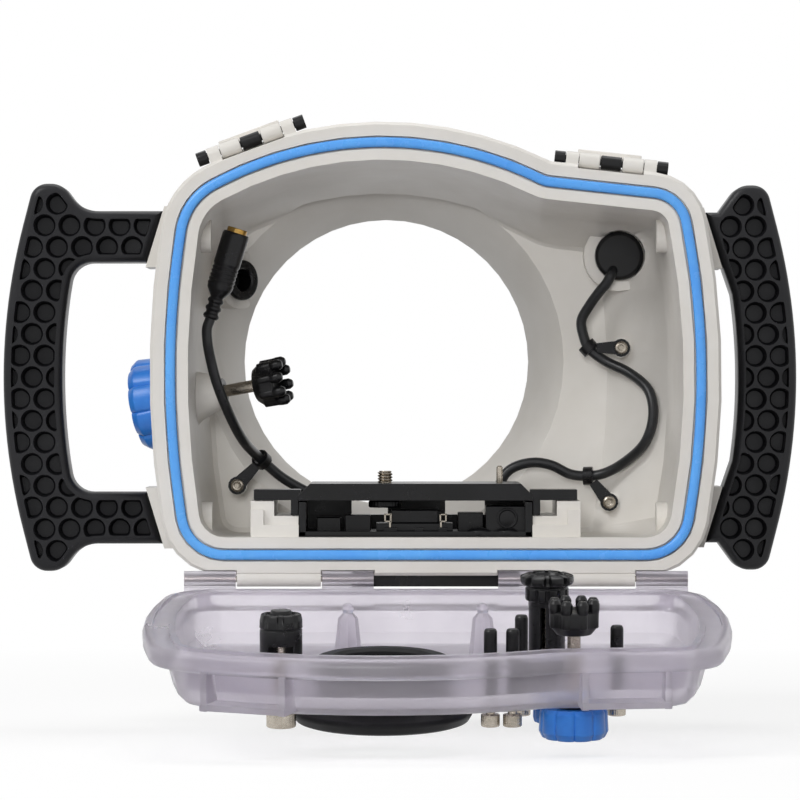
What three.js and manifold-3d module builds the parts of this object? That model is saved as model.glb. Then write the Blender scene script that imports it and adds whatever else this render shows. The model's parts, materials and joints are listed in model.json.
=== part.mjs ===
import * as THREE from 'three';
import { mergeVertices } from 'three/addons/utils/BufferGeometryUtils.js';
import Module from 'manifold-3d';

const wasm = await Module();
wasm.setup();

// An underwater camera housing with its clear rear door open. Lengths are in millimetres.
// +Z is up, +Y points out of the lens port, and the open rear of the body faces -Y.
// The origin is the centre of the underside of the base plate.

// Clearances
const seatGap = 0.3;
const runGap = 0.5;
const overrun = 1;

// Base plate under the body
const plateWidth = 70;
const plateLength = 84;
const plateThick = 4.5;
const plateScrewPitch = 56;
const tripodHoleRadius = 3.2;
const tripodHoleRun = 14;

// Rim around the open rear of the body, measured either side of the seal line
const rimOuter = 8.6;
const rimInner = 7.3;
const rimThick = 8;
const rimEdge = 1.2;
const rimLead = 8;
const grooveHalf = 2.75;
const grooveDepth = 3.2;
const sealHalf = 2.3;
const sealProud = 1.2;

// Seal line: a flat bottom, two bowed sides, a domed top and a sloping right shoulder
const leftReach = 110.8;
const leftBowRadius = 386.8;
const leftBowRise = 76.1;
const rightReach = 110.6;
const rightBowRadius = 333;
const rightBowRise = 74.1;
const domeX = -22.3;
const domeRise = 172.1;
const domeRadius = 148.5;
const shoulderX = 45.2;
const shoulderDrop = 16.3;
const shoulderRise = domeRise - shoulderDrop;
const shoulderFallShare = 0.107;
const lowerCornerRadius = 18;
const shoulderCornerRadius = 15;
const neckRadius = 12;
const domeCornerRadius = 26;
const leastCornerRadius = 3;

// Chamber behind the rim: how far its walls have moved in at the knee and at the front
const bodyWall = 5.5;
const kneeDepth = 58;
const kneeRight = 11;
const kneeShoulder = 12;
const kneeDome = 12;
const kneeLeft = 9;
const facetDepth = 88;
const frontRight = 33.6;
const frontShoulder = 22.8;
const frontDome = 19.5;
const frontLeft = 12.8;
const chamberRound = 2;
const frontWall = 7;
const frontRound = 3;
const footMargin = 3;

// Lens port in the front wall
const portShift = 1.3;
const portRise = 81.4;
const portReach = 28;
const portBackRadius = 77;
const portThroatRadius = 70.6;
const portMouthRadius = 62.4;
const portThroatDepth = 98;
const portMouthDepth = 120;
const portCollarRadius = 82;
const portCollarStart = 84;

// Hinge along the lower edge of the rim
const hingeRadius = 3.25;
const hingeInset = 3;
const hingeDrop = 1.4;
const hingePinRadius = 1.3;
const innerKnuckleStart = 26;
const knuckleWidth = 21.5;
const hingeEndInset = 5.6;
const openAngle = 96.6;

// Clear door
const doorOuter = 7.2;
const doorFlange = 8.3;
const doorEdge = 0.9;
const flangeRound = 3;
const dishSteps = 3;
const flangeSteps = 3;
const doorDepth = 24.5;
const doorWall = 4;
const dishInset = 1.5;
const dishDraft = 2;
const dishRound = 8;
const channelHalf = 3.3;
const channelDepth = 1.5;
const catchWidth = 35;
const catchRib = 2.6;
const catchRun = 15.2;
const catchBarRun = 12.4;
const catchBarThick = 2.4;

// Draw latches on the top of the rim
const latchAngle = 20.2;
const latchRun = 26.9;
const latchLift = 2;
const latchBedTop = 1.9;
const latchBedRun = 6;
const latchDepth = 5;
const latchCentre = 9;
const latchArm = 9;
const latchEar = 5.5;
const latchCap = 4.5;
const latchCapRadius = 3;
const latchPinRadius = 1.5;
const leverHub = 3.2;
const leverThick = 3;
const leverBridgeStart = 14;
const leverLength = 30.5;
const leverLip = 5.9;
const leverLipThick = 2.4;
const clawRadius = 2.9;
const clawLength = 9;

// Hand grips
const gripHornRise = 11.6;
const gripFoot = 3.8;
const gripArmDrop = 27.5;
const gripArmHeight = 21.8;
const gripBarWidth = 25;
const gripBowRadius = 251;
const gripHornTop = 12;
const gripHornRun = 8.5;
const gripHornRadius = 7;
const gripHornBlend = 14;
const gripCornerRadius = 9;
const sharedEdgeShare = 0.48;
const freeEdgeShare = 0.6;
const gripThick = 24;
const gripBevel = 3;
const leftGripReach = 60.3;
const rightGripReach = 31.7;
const leftGripDepth = 45;
const rightGripDepth = 62;
const pocketRadius = 4.85;
const pocketPitch = 10.6;
const pocketRowPitch = 9.27;
const pocketShift = 17.5;
const pocketDepth = 9;
const pocketBorder = 3.2;
const padProud = 3.2;
const padSlope = 7.9;
const padSpill = 2;
const footRun = 13;
const footProud = 5.1;
const gripScrewLength = 18;
const innerBossRadius = 7;
const innerBossProud = 3.5;
const leftBossDepth = 30;
const rightBossDepth = 24;

// Screws
const screwRadius = 2;
const screwHeadRadius = 3.8;
const screwHeadHeight = 2.8;
const smallScrewRadius = 1.3;
const smallHeadRadius = 2.9;
const smallHeadHeight = 1.8;
const smallScrewLength = 6;
const plateScrewLength = 9;

// Zoom control through the left wall, tilted up and turned back on its way in
const zoomDepth = 55;
const zoomRise = 66.2;
const zoomTiltAngle = 10;
const zoomTurnAngle = 13.5;
const zoomKnobRadius = 19.9;
const zoomKnobThick = 12.6;
const zoomKnobStand = 12.6;
const zoomCollarRadius = 13;
const zoomBossRadius = 11;
const zoomBossTip = 7;
const zoomBossLength = 10.5;
const zoomShaftRadius = 2.6;
const zoomWasherRadius = 5.6;
const zoomWasherThick = 1.8;
const zoomWheelStart = 26.6;

// Pronged wheels, inside the chamber and inside the door
const wheelRadius = 10.6;
const wheelBody = 9.6;
const prongRadius = 2.4;
const prongProud = 4.5;
const prongCount = 8;

// Bush in the left front facet and gland cap on the right front boss
const bushInset = 26.8;
const bushDrop = 55.8;
const bushDepth = 79;
const bushRadius = 8.7;
const bushBore = 4.6;
const bushLip = 2.2;
const bushLength = 12;
const bushBossRadius = 12.5;
const glandInset = 31.3;
const glandDrop = 29.2;
const glandDepth = 75;
const glandBossRadius = 15.1;
const glandRadius = 10.5;
const glandThick = 6;
const glandStemRadius = 5;
const glandStemLength = 10;

// Camera tray and what stands under it
const railWidth = 20.1;
const railStep = 9.8;
const railHigh = 15.1;
const railLow = 8.8;
const railStart = 6;
const railEndLength = 3;
const railEndDrop = 3.7;
const railEndStep = 5.4;
const railLength = 72;
const trayX = -8.5;
const trayWidth = 98.3;
const trayThick = 7.1;
const trayDrop = 0.2;
const trayDepthStart = 8;
const trayLength = 62;
const trayChamfer = 5;
const trayEarWidth = 18.5;
const trayEarThick = 4.4;
const trayEarLength = 20;
const trayLegThick = 3;
const cameraScrewRadius = 3.175;
const cameraScrewShift = -12.8;
const cameraScrewDepth = 30;
const cameraScrewProud = 5.1;
const cameraScrewHead = 7;
const cameraScrewHeadThick = 3;
const threadPitch = 1.27;
const threadDepth = 0.8;
const locatingPinShift = 35.5;
const locatingPinRadius = 1.35;
const locatingPinProud = 7.3;
const frameWallThick = 3;
const frameFloorThick = 2;
const frameBackThick = 8;
const frameGapDrop = 6.4;
const frameLeftBlock = 21.6;
const frameLeftGap = 15.5;
const frameCentreBlock = 24.6;
const frameRightBlock = 19;
const contactWidth = 23;
const contactHeight = 8.6;
const contactLength = 20;
const contactDepthStart = 12;
const bracketWidth = 3;
const bracketHeight = 7;
const bracketPitch = 23;

// Cables, held by the walls and clips along their whole way
const cableRadius = 2.2;
const clipThick = 1.2;
const clipWidth = 4;
const clipEyeRadius = 3.9;
const clipRootWidth = 6.4;
const clipBossRadius = 4.3;
const clipLoopRise = 1.5;
const clipSlack = 0.6;
const connectorRadius = 5.7;
const connectorLength = 28.2;
const connectorNeck = 3.4;
const connectorRelief = 10;
const connectorTipRadius = 4.6;
const connectorTipLength = 4;

// Controls through the door: places are distances from the hinge axis and from the middle plane
const dialX = 53;
const dialInset = 42.1;
const dialTop = 16.6;
const dialKnobRadius = 13.7;
const dialKnobThick = 12;
const dialKnobStand = 1.8;
const dialCollarRadius = 9;
const mushroomX = 43.4;
const mushroomInset = 77.1;
const mushroomTop = 21.3;
const mushroomRadius = 10.7;
const mushroomCap = 5.2;
const mushroomNeck = 8.7;
const mushroomSleeve = 7.4;
const mushroomBore = 5.4;
const mushroomKnobRadius = 5.5;
const mushroomKnobThick = 10;
const mushroomKnobStand = 4;
const crownX = -61.3;
const crownInset = 32.1;
const crownTop = 13.6;
const crownRadius = 8.5;
const crownLength = 18;
const crownTooth = 2.4;
const crownKnobRadius = 5.8;
const crownKnobThick = 6.2;
const crownKnobStand = 1.9;
const shaftRadius = 2.6;
const buttonCapRadius = 3.7;
const buttonCapThick = 4.9;
const buttonTravel = 2;
const buttonStand = buttonTravel + 3 * seatGap;
const buttonRodRadius = 2.6;
const buttonStemRadius = 1.8;
const guideRadius = 4.4;
const guideHeight = 0.6;
const eyeX = -22;
const eyeInset = 64.1;
const eyeRingRadius = 27.5;
const eyeBoreRadius = 21;
const eyeRingHeight = 10.5;
const eyeCupRadius = 36;
const eyeCupHeight = 11.6;
const eyeCupLip = 5;
const eyeWindowThick = 4;
const coneX = 27.2;
const coneShift = -8.8;
const coneInset = 112.1;
const farButtonInset = 32.1;
const nearButtonInset = 57.1;
const coneBaseRadius = 6.2;
const coneHeight = 24.4;
const coneTop = [
  { share: 0.75, radius: 4 },
  { share: 0.84, radius: 2 },
  { share: 0.9, radius: 2.5 },
  { share: 0.97, radius: 1.9 },
  { share: 1, radius: 0.7 },
];
const coneFlute = 0.84;

// Shares of a size that shape its details
const shares = {
  socket: 0.8,
  sealFoot: 0.7,
  hornTangent: 0.92,
  innerBow: 1.2,
  flute: 0.07,
  wheelBase: 0.6,
  prongTip: 0.6,
  reliefWaist: 0.8,
  tipBore: 0.6,
  knuckleFoot: 0.4,
  toothRoot: 0.7,
};

// Places that follow from the sizes above
const rimY = -plateLength / 2 - rimLead;
const sealBottom = plateThick + seatGap + rimOuter;
const hingeY = rimY + hingeInset;
const hingeZ = plateThick + seatGap - hingeDrop;
const chamberDepth = facetDepth + chamberRound;
const bodyDepth = chamberDepth + frontWall;
const portX = domeX + portShift;
const portZ = sealBottom + portRise;
const floorZ = sealBottom + rimInner;
const matingY = -hingeInset - seatGap;
const doorOutY = matingY - doorDepth;
const doorInY = doorOutY + doorWall;
const doorReach = sealBottom + domeRise - hingeZ;
const dialReach = doorReach - dialInset;
const mushroomReach = doorReach - mushroomInset;
const crownReach = doorReach - crownInset;
const eyeReach = doorReach - eyeInset;
const coneReach = doorReach - coneInset;

const white = { color: 0xe2dfda, roughness: 0.5, metalness: 0 };
const black = { color: 0x1b1b1d, roughness: 0.5, metalness: 0 };
const rubber = { color: 0x151517, roughness: 0.85, metalness: 0 };
const blue = { color: 0x2f74cc, roughness: 0.4, metalness: 0 };
const sealBlue = { color: 0x4a9be8, roughness: 0.5, metalness: 0 };
const steel = { color: 0xb9b2a6, roughness: 0.3, metalness: 0.9 };
const gold = { color: 0xd2a63c, roughness: 0.3, metalness: 1 };
const clear = { color: 0xd9d5e2, roughness: 0.08, metalness: 0, opacity: 0.35, transparent: true };

function radians(degrees) {
  return THREE.MathUtils.degToRad(degrees);
}

function degenerate(a, b, c) {
  return a === b || b === c || c === a;
}

// A closed geometry, or a solid that is one already, as a solid with its faces outwards.
function solid(shape) {
  if (!shape.isBufferGeometry) return shape;
  const bare = shape.clone();
  bare.deleteAttribute('normal');
  bare.deleteAttribute('uv');
  const merged = mergeVertices(bare);
  const spots = merged.attributes.position;
  const index = merged.index.array;
  const corners = [];
  const [a, b, c] = [new THREE.Vector3(), new THREE.Vector3(), new THREE.Vector3()];
  let volume = 0;
  for (let i = 0; i < index.length; i += 3) {
    if (degenerate(index[i], index[i + 1], index[i + 2])) continue;
    corners.push(index[i], index[i + 1], index[i + 2]);
    a.fromBufferAttribute(spots, index[i]);
    b.fromBufferAttribute(spots, index[i + 1]);
    c.fromBufferAttribute(spots, index[i + 2]);
    volume += a.dot(b.cross(c));
  }
  if (volume < 0) corners.reverse();
  return new wasm.Manifold(new wasm.Mesh({
    numProp: 3,
    vertProperties: Float32Array.from(spots.array),
    triVerts: Uint32Array.from(corners),
  }));
}

function join(...shapes) {
  return shapes.map(solid).reduce((whole, next) => whole.add(next));
}

function cut(base, ...tools) {
  return tools.map(solid).reduce((left, tool) => left.subtract(tool), solid(base));
}

function geometryOf(shape) {
  const mesh = solid(shape).getMesh();
  const geometry = new THREE.BufferGeometry();
  geometry.setAttribute('position', new THREE.BufferAttribute(mesh.vertProperties, 3));
  geometry.setIndex(new THREE.BufferAttribute(mesh.triVerts, 1));
  geometry.computeVertexNormals();
  return geometry;
}

function piece(parent, name, shape, look) {
  const mesh = new THREE.Mesh(geometryOf(shape), new THREE.MeshStandardMaterial(look));
  mesh.name = name;
  parent.add(mesh);
  return mesh;
}

function box(x0, x1, y0, y1, z0, z1) {
  const block = new THREE.BoxGeometry(x1 - x0, y1 - y0, z1 - z0);
  return block.translate((x0 + x1) / 2, (y0 + y1) / 2, (z0 + z1) / 2);
}

// A profile of [radius, height] pairs turned about the Y axis.
function turned(profile, sides) {
  return new THREE.LatheGeometry(profile.map(([r, y]) => new THREE.Vector2(r, y)), sides);
}

function rodY(radius, y0, y1, sides) {
  return turned([[0, y0], [radius, y0], [radius, y1], [0, y1]], sides);
}

// Shapes made along Y laid along +X.
function alongX(geometry) {
  return geometry.rotateZ(-Math.PI / 2);
}

function rodX(radius, x0, x1, sides) {
  return alongX(rodY(radius, x0, x1, sides));
}

function shapeOf(points) {
  return new THREE.Shape(points.map(([x, y]) => new THREE.Vector2(x, y)));
}

// An outline in X and Z drawn out along Y.
function prismY(points, y0, y1) {
  const body = new THREE.ExtrudeGeometry(shapeOf(points), { depth: y1 - y0, bevelEnabled: false });
  return body.rotateX(Math.PI / 2).translate(0, y1, 0);
}

// Sides of the seal line, each moved inwards by its inset
function straight(x, z, inwardX, inwardZ) {
  return { point: new THREE.Vector2(x, z), inward: new THREE.Vector2(inwardX, inwardZ).normalize() };
}

function bow(x, z, radius) {
  return { centre: new THREE.Vector2(x, z), radius };
}

const sealSides = [
  straight(0, sealBottom, 0, 1),
  bow(rightReach - rightBowRadius, sealBottom + rightBowRise, rightBowRadius),
  straight(shoulderX, sealBottom + shoulderRise, -shoulderFallShare, -1),
  bow(domeX, sealBottom + domeRise - domeRadius, domeRadius),
  bow(leftBowRadius - leftReach, sealBottom + leftBowRise, leftBowRadius),
];

function moved(side, inset) {
  if (side.centre) return { centre: side.centre, radius: side.radius - inset };
  return { point: side.point.clone().addScaledVector(side.inward, inset), inward: side.inward };
}

// Where a side meets a bow, on the side of the bow's centre that is nearer to a place.
function meet(first, second, near) {
  const arc = first.centre ? first : second;
  const other = first.centre ? second : first;
  let foot;
  let along;
  if (other.centre) {
    const apart = other.centre.clone().sub(arc.centre);
    const span = apart.length();
    const reach = (span * span + arc.radius ** 2 - other.radius ** 2) / (2 * span);
    foot = arc.centre.clone().addScaledVector(apart.normalize(), reach);
    along = new THREE.Vector2(-apart.y, apart.x);
  } else {
    const rise = arc.centre.clone().sub(other.point).dot(other.inward);
    foot = arc.centre.clone().addScaledVector(other.inward, -rise);
    along = new THREE.Vector2(-other.inward.y, other.inward.x);
  }
  const half = Math.sqrt(arc.radius ** 2 - foot.distanceToSquared(arc.centre));
  const ends = [half, -half].map((run) => foot.clone().addScaledVector(along, run));
  return ends[0].distanceTo(near) < ends[1].distanceTo(near) ? ends[0] : ends[1];
}

function footOn(side, from) {
  if (side.centre) return from.clone().sub(side.centre).setLength(side.radius).add(side.centre);
  return from.clone().addScaledVector(side.inward, -from.clone().sub(side.point).dot(side.inward));
}

const sealCorners = [
  { radius: lowerCornerRadius, steps: 5, near: new THREE.Vector2(rightReach, sealBottom) },
  { radius: shoulderCornerRadius, steps: 5, near: new THREE.Vector2(rightReach, sealBottom + shoulderRise) },
  { radius: -neckRadius, steps: 3, near: new THREE.Vector2(shoulderX, sealBottom + shoulderRise) },
  { radius: domeCornerRadius, steps: 6, near: new THREE.Vector2(-leftReach, sealBottom + shoulderRise) },
  { radius: lowerCornerRadius, steps: 5, near: new THREE.Vector2(-leftReach, sealBottom) },
];
const bowSteps = [1, 5, 1, 10, 5];

function arcPoints(centre, start, end, steps) {
  const from = start.clone().sub(centre);
  const sweep = Math.atan2(from.cross(end.clone().sub(centre)), from.dot(end.clone().sub(centre)));
  const points = [];
  for (let i = 0; i <= steps; i += 1) {
    points.push(start.clone().rotateAround(centre, (sweep * i) / steps));
  }
  return points;
}

// The closed outline, counter-clockwise seen from behind, with each side at its own inset.
function outline(insets) {
  const sides = sealSides.map((side, i) => moved(side, insets[i]));
  const corners = sealCorners.map((corner, i) => {
    const next = (i + 1) % sides.length;
    const mean = (insets[i] + insets[next]) / 2;
    const hollow = corner.radius < 0;
    const radius = hollow ? corner.radius - mean : Math.max(corner.radius - mean, leastCornerRadius);
    const centre = meet(moved(sides[i], radius), moved(sides[next], radius), corner.near);
    return arcPoints(centre, footOn(sides[i], centre), footOn(sides[next], centre), corner.steps);
  });
  const points = [];
  corners.forEach((corner, i) => {
    points.push(...corner);
    const next = (i + 1) % sides.length;
    const start = corner[corner.length - 1];
    const end = corners[next][0];
    const side = sides[next];
    if (side.centre) points.push(...arcPoints(side.centre, start, end, bowSteps[next]).slice(1, -1));
  });
  return points;
}

function even(inset) {
  return [inset, inset, inset, inset, inset];
}

function ring(insets, y) {
  return outline(insets).map((p) => new THREE.Vector3(p.x, y, p.y));
}

// A skin over rings of equally many points, closed by flat ends, or round onto itself.
function skin(rings, round = false) {
  const count = rings[0].length;
  const index = [];
  const last = round ? rings.length : rings.length - 1;
  for (let i = 0; i < last; i += 1) {
    const here = i * count;
    const there = ((i + 1) % rings.length) * count;
    for (let j = 0; j < count; j += 1) {
      const k = (j + 1) % count;
      index.push(here + j, here + k, there + j, here + k, there + k, there + j);
    }
  }
  if (!round) {
    const flat = rings[0].map((p) => new THREE.Vector2(p.x, p.z));
    const far = (rings.length - 1) * count;
    const farFlat = rings[rings.length - 1].map((p) => new THREE.Vector2(p.x, p.z));
    THREE.ShapeUtils.triangulateShape(flat, []).forEach(([a, b, c]) => index.push(a, c, b));
    THREE.ShapeUtils.triangulateShape(farFlat, []).forEach(([a, b, c]) => {
      index.push(far + a, far + b, far + c);
    });
  }
  const geometry = new THREE.BufferGeometry().setFromPoints(rings.flat());
  geometry.setIndex(index);
  return geometry;
}

// Insets of the chamber's walls at the rim, at the knee and at the front
const rimInsets = even(rimInner);
const kneeInsets = [rimInner, kneeRight, kneeShoulder, kneeDome, kneeLeft];
const frontInsets = [rimInner, frontRight, frontShoulder, frontDome, frontLeft];

function shifted(insets, by) {
  return insets.map((inset) => inset + by);
}

function insetAt(side, depth) {
  if (depth < kneeDepth) return THREE.MathUtils.lerp(rimInsets[side], kneeInsets[side], depth / kneeDepth);
  const share = (depth - kneeDepth) / (facetDepth - kneeDepth);
  return THREE.MathUtils.lerp(kneeInsets[side], frontInsets[side], share);
}

// How far out the inner face of the right (1) or left (-1) wall is at a height and depth.
function wallX(hand, z, depth) {
  const side = sealSides[hand > 0 ? 1 : 4];
  const radius = side.radius - insetAt(hand > 0 ? 1 : 4, depth);
  return hand * (Math.sqrt(radius ** 2 - (z - side.centre.y) ** 2) + hand * side.centre.x);
}

// Draw latches sit square to the rim: one on the dome, one on the shoulder
const latchOut = rimOuter + latchLift;
const domeCentre = sealSides[3].centre;
const latches = [
  {
    hand: 'left',
    x: domeCentre.x - (domeRadius + latchOut) * Math.sin(radians(latchAngle)),
    z: domeCentre.y + (domeRadius + latchOut) * Math.cos(radians(latchAngle)),
    tilt: radians(latchAngle),
  },
  {
    hand: 'right',
    x: shoulderX + latchRun + latchOut * Math.sin(Math.atan(shoulderFallShare)),
    z: sealBottom + shoulderRise - latchRun * shoulderFallShare
      + latchOut * Math.cos(Math.atan(shoulderFallShare)),
    tilt: -Math.atan(shoulderFallShare),
  },
];
const armStart = latchCentre / 2;
const armEnd = armStart + latchArm;
const earEnd = armEnd + latchEar;
const capEnd = earEnd + latchCap;

function latchPlaced(geometry, latch) {
  return geometry.rotateY(-latch.tilt).translate(latch.x, rimY + latchDepth, latch.z);
}

function latchEars(latch) {
  const root = -latchLift - rimOuter / 2;
  return [-1, 1].map((hand) => {
    const ends = [hand * (armEnd + seatGap), hand * earEnd].sort((a, b) => a - b);
    const stem = box(ends[0], ends[1], -leverHub, leverHub, root, 0);
    return latchPlaced(geometryOf(join(stem, rodX(leverHub, ends[0], ends[1], 14))), latch);
  });
}

// A bed under the lever, behind its hinge, and the recess in the rim that the lever turns in
function latchBed(latch) {
  const root = -latchLift - rimOuter / 2;
  const wide = armEnd + overrun;
  return latchPlaced(box(-wide, wide, -latchDepth / 2, latchBedRun, root, -latchBedTop), latch);
}

function latchRecess(latch) {
  const reach = leverHub + runGap;
  const wide = armEnd + seatGap;
  const mouth = box(-wide, wide, -latchDepth - overrun, 0, -reach, reach);
  const caps = [-1, 1].map((hand) => {
    const ends = [hand * earEnd, hand * (capEnd + overrun)].sort((a, b) => a - b);
    return rodX(latchCapRadius + runGap, ends[0], ends[1], 14);
  });
  return latchPlaced(geometryOf(join(mouth, rodX(reach, -wide, wide, 16), ...caps)), latch);
}

// Hand grip pads, and the round bosses inside the chamber at the height of the grips' arms
const grips = [
  {
    hand: -1,
    name: 'left',
    wall: leftReach,
    reach: leftGripReach,
    depth: leftGripDepth,
    boss: leftBossDepth,
  },
  {
    hand: 1,
    name: 'right',
    wall: rightReach,
    reach: rightGripReach,
    depth: rightGripDepth,
    boss: rightBossDepth,
  },
];
grips.forEach((grip) => {
  grip.near = grip.wall + rimOuter + padProud;
  grip.foot = grip.near + footProud;
  grip.out = grip.near + grip.reach;
});
const gripArmHalf = (domeRise - gripArmDrop - gripFoot) / 2;
const gripZ = sealBottom + gripFoot + gripArmHalf;
const gripHalfHeight = gripArmHalf + gripHornRise;
const armInnerHalf = gripArmHalf - gripArmHeight;
const armMiddle = (gripArmHalf + armInnerHalf) / 2;
const padSlopeShare = padSlope / (gripArmHeight + 2 * padSpill);

function padOut(grip, fromMiddle) {
  return grip.near - (fromMiddle - armInnerHalf + padSpill) * padSlopeShare;
}

function gripPads(grip) {
  const start = rimY + grip.depth - gripThick / 2;
  const end = start + gripThick + footRun;
  const low = armInnerHalf - padSpill;
  const high = gripArmHalf + padSpill;
  return [-1, 1].map((end2) => {
    const root = Math.abs(wallX(grip.hand, gripZ + end2 * high, grip.depth - gripThick / 2));
    const deep = Math.min(root, Math.abs(wallX(grip.hand, gripZ + end2 * high, end - rimY)) + bodyWall / 2);
    const points = [[deep, low], [padOut(grip, low), low], [padOut(grip, high), high], [deep, high]];
    const placed = points.map(([u, w]) => [grip.hand * u, gripZ + end2 * w]);
    return { end2, shape: prismY(placed, start, end) };
  });
}

function innerBoss(grip, end2) {
  const z = gripZ + end2 * armMiddle;
  const inner = Math.abs(wallX(grip.hand, z, grip.boss));
  const boss = rodX(innerBossRadius, inner - innerBossProud, inner + bodyWall / 2, 16);
  if (grip.hand < 0) boss.rotateZ(Math.PI);
  return boss.translate(0, rimY + grip.boss, z);
}

function gripScrewHole(grip, end2) {
  const hole = rodX(screwRadius + seatGap, grip.foot - gripScrewLength - runGap, grip.foot + overrun, 10);
  if (grip.hand < 0) hole.rotateZ(Math.PI);
  return hole.translate(0, rimY + grip.depth + (gripThick + footRun) / 2, gripZ + end2 * armMiddle);
}

// The zoom control's own frame: X runs inwards along its axis from the wall's inner face
const zoomZ = sealBottom + zoomRise;
const zoomX = wallX(-1, zoomZ, zoomDepth);
const zoomTurn = new THREE.Matrix4()
  .makeTranslation(zoomX, rimY + zoomDepth, zoomZ)
  .multiply(new THREE.Matrix4().makeRotationZ(-radians(zoomTurnAngle)))
  .multiply(new THREE.Matrix4().makeRotationY(-radians(zoomTiltAngle)));

function zoomBoss() {
  const outer = -zoomKnobStand + runGap;
  const profile = [
    [0, outer],
    [zoomCollarRadius, outer],
    [zoomCollarRadius, -bodyWall / 2],
    [zoomBossRadius, 0],
    [zoomBossTip, zoomBossLength],
    [0, zoomBossLength],
  ];
  return alongX(turned(profile, 20)).applyMatrix4(zoomTurn);
}

function zoomBore() {
  const reach = zoomKnobStand + zoomBossLength + overrun;
  return rodX(zoomShaftRadius + seatGap, -reach, reach, 12).applyMatrix4(zoomTurn);
}

// The bush points half way between back and right, out of a boss in the left front facet
const bushTurn = new THREE.Matrix4()
  .makeTranslation(bushInset - leftReach, rimY + bushDepth, sealBottom + domeRise - bushDrop)
  .multiply(new THREE.Matrix4().makeRotationZ(-Math.PI / 4));
const bushBossReach = bushLength + bushLip;

function bushBoss() {
  return rodX(bushBossRadius, -bushBossReach, 0, 20).applyMatrix4(bushTurn);
}

function bushSeat() {
  return rodX(bushRadius - bushLip + seatGap, -bushBossReach - overrun, overrun, 16).applyMatrix4(bushTurn);
}

const glandX = rightReach - glandInset;
const glandZ = sealBottom + shoulderRise - glandDrop;

function glandBoss() {
  return rodY(glandBossRadius, rimY + glandDepth, rimY + bodyDepth + frontRound, 24)
    .translate(glandX, 0, glandZ);
}

function glandSleeve() {
  return rodY(glandBossRadius, rimY + kneeDepth, rimY + bodyDepth, 24).translate(glandX, 0, glandZ);
}

function glandRecess() {
  return rodY(glandRadius + runGap, rimY, rimY + glandDepth, 18).translate(glandX, 0, glandZ);
}

function glandSeat() {
  const start = rimY + glandDepth;
  return rodY(glandStemRadius + seatGap, start - overrun, start + glandStemLength + runGap, 12)
    .translate(glandX, 0, glandZ);
}

// Routes of the two cables: places on their middle lines, by their inset from the side, Y and Z
const leftRoute = [
  [15.5, -22, 111.6],
  [14.4, -21.9, 108.2],
  [14.6, -21, 102],
  [15.8, -18, 95],
  [18, -15, 86],
  [22.4, -9, 74],
  [28.6, 6, 61],
  [36.2, 26, 52.2],
  [44.3, 30, 45],
  [50.3, 31, 41.2],
  [56.3, 31, 38.2],
  [62.3, 31, 36.4],
].map(([inset, y, z]) => [inset - leftReach, y, z]);

const rightRoute = [
  [glandX - 5.7, 18.7, glandZ - 12],
  [glandX - 7.8, 20, glandZ - 14.5],
  [glandX - 12.5, 24, glandZ - 21],
  ...[
    [47.4, 27, 112],
    [46.4, 27.6, 105.5],
    [44.2, 27.5, 100.5],
    [37.4, 26, 95],
    [26.6, 20.4, 89.4],
    [19, 13.4, 82],
    [17.2, 10.6, 72],
    [20.2, 13.2, 60.4],
    [29.8, 23.2, 50.6],
    [38.1, 28, 46.2],
    [44.4, 29.5, 45.2],
    [52.1, 30, 46],
    [60.1, 30.5, 49.8],
    [67.6, 31, 51],
    [75.1, 31, 49.5],
    [79.6, 31, 46.6],
    [82.6, 31, 41.5],
  ].map(([inset, y, z]) => [rightReach - inset, y, z]),
];

// Cable clips: a strap round the cable at one place of its route, screwed to a boss of the wall
const clips = [
  { name: 'left', route: leftRoute, at: 7, across: -10.5, up: -11 },
  { name: 'upper', route: rightRoute, at: 5, across: 13.9, up: 0 },
  { name: 'lower', route: rightRoute, at: 13, across: 9, up: -11.2 },
];
clips.forEach((clip) => {
  const [x, , z] = clip.route[clip.at];
  clip.screw = [x + clip.across, z + clip.up];
});

function clipFace(clip) {
  return clip.route[clip.at][1] - clipLoopRise;
}

function clipBoss(clip) {
  return rodY(clipBossRadius, clipFace(clip), rimY + chamberDepth + overrun, 12)
    .translate(clip.screw[0], 0, clip.screw[1]);
}

function clipHole(clip) {
  const start = clipFace(clip);
  return rodY(smallScrewRadius + seatGap, start - overrun, start + smallScrewLength + runGap, 8)
    .translate(clip.screw[0], 0, clip.screw[1]);
}

// Tray rails: high outer part, low inner step
const trayLeft = trayX - trayWidth / 2;
const trayRight = trayX + trayWidth / 2;

function railPart(hand, step, drop, start, end) {
  const inner = (hand > 0 ? trayRight : -trayLeft) - seatGap;
  const points = [
    [inner, floorZ - bodyWall / 2],
    [inner + railWidth, floorZ - bodyWall / 2],
    [inner + railWidth, floorZ + railHigh - drop],
    [inner + railWidth - step, floorZ + railHigh - drop],
    [inner + railWidth - step, floorZ + railLow - drop],
    [inner, floorZ + railLow - drop],
  ].map(([u, z]) => [hand * u, z]);
  return prismY(points, rimY + start, rimY + end);
}

function rail(hand) {
  const main = railStart + railEndLength;
  return join(
    railPart(hand, railEndStep, railEndDrop, railStart, main),
    railPart(hand, railStep, 0, main, railStart + railLength),
  );
}

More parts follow.
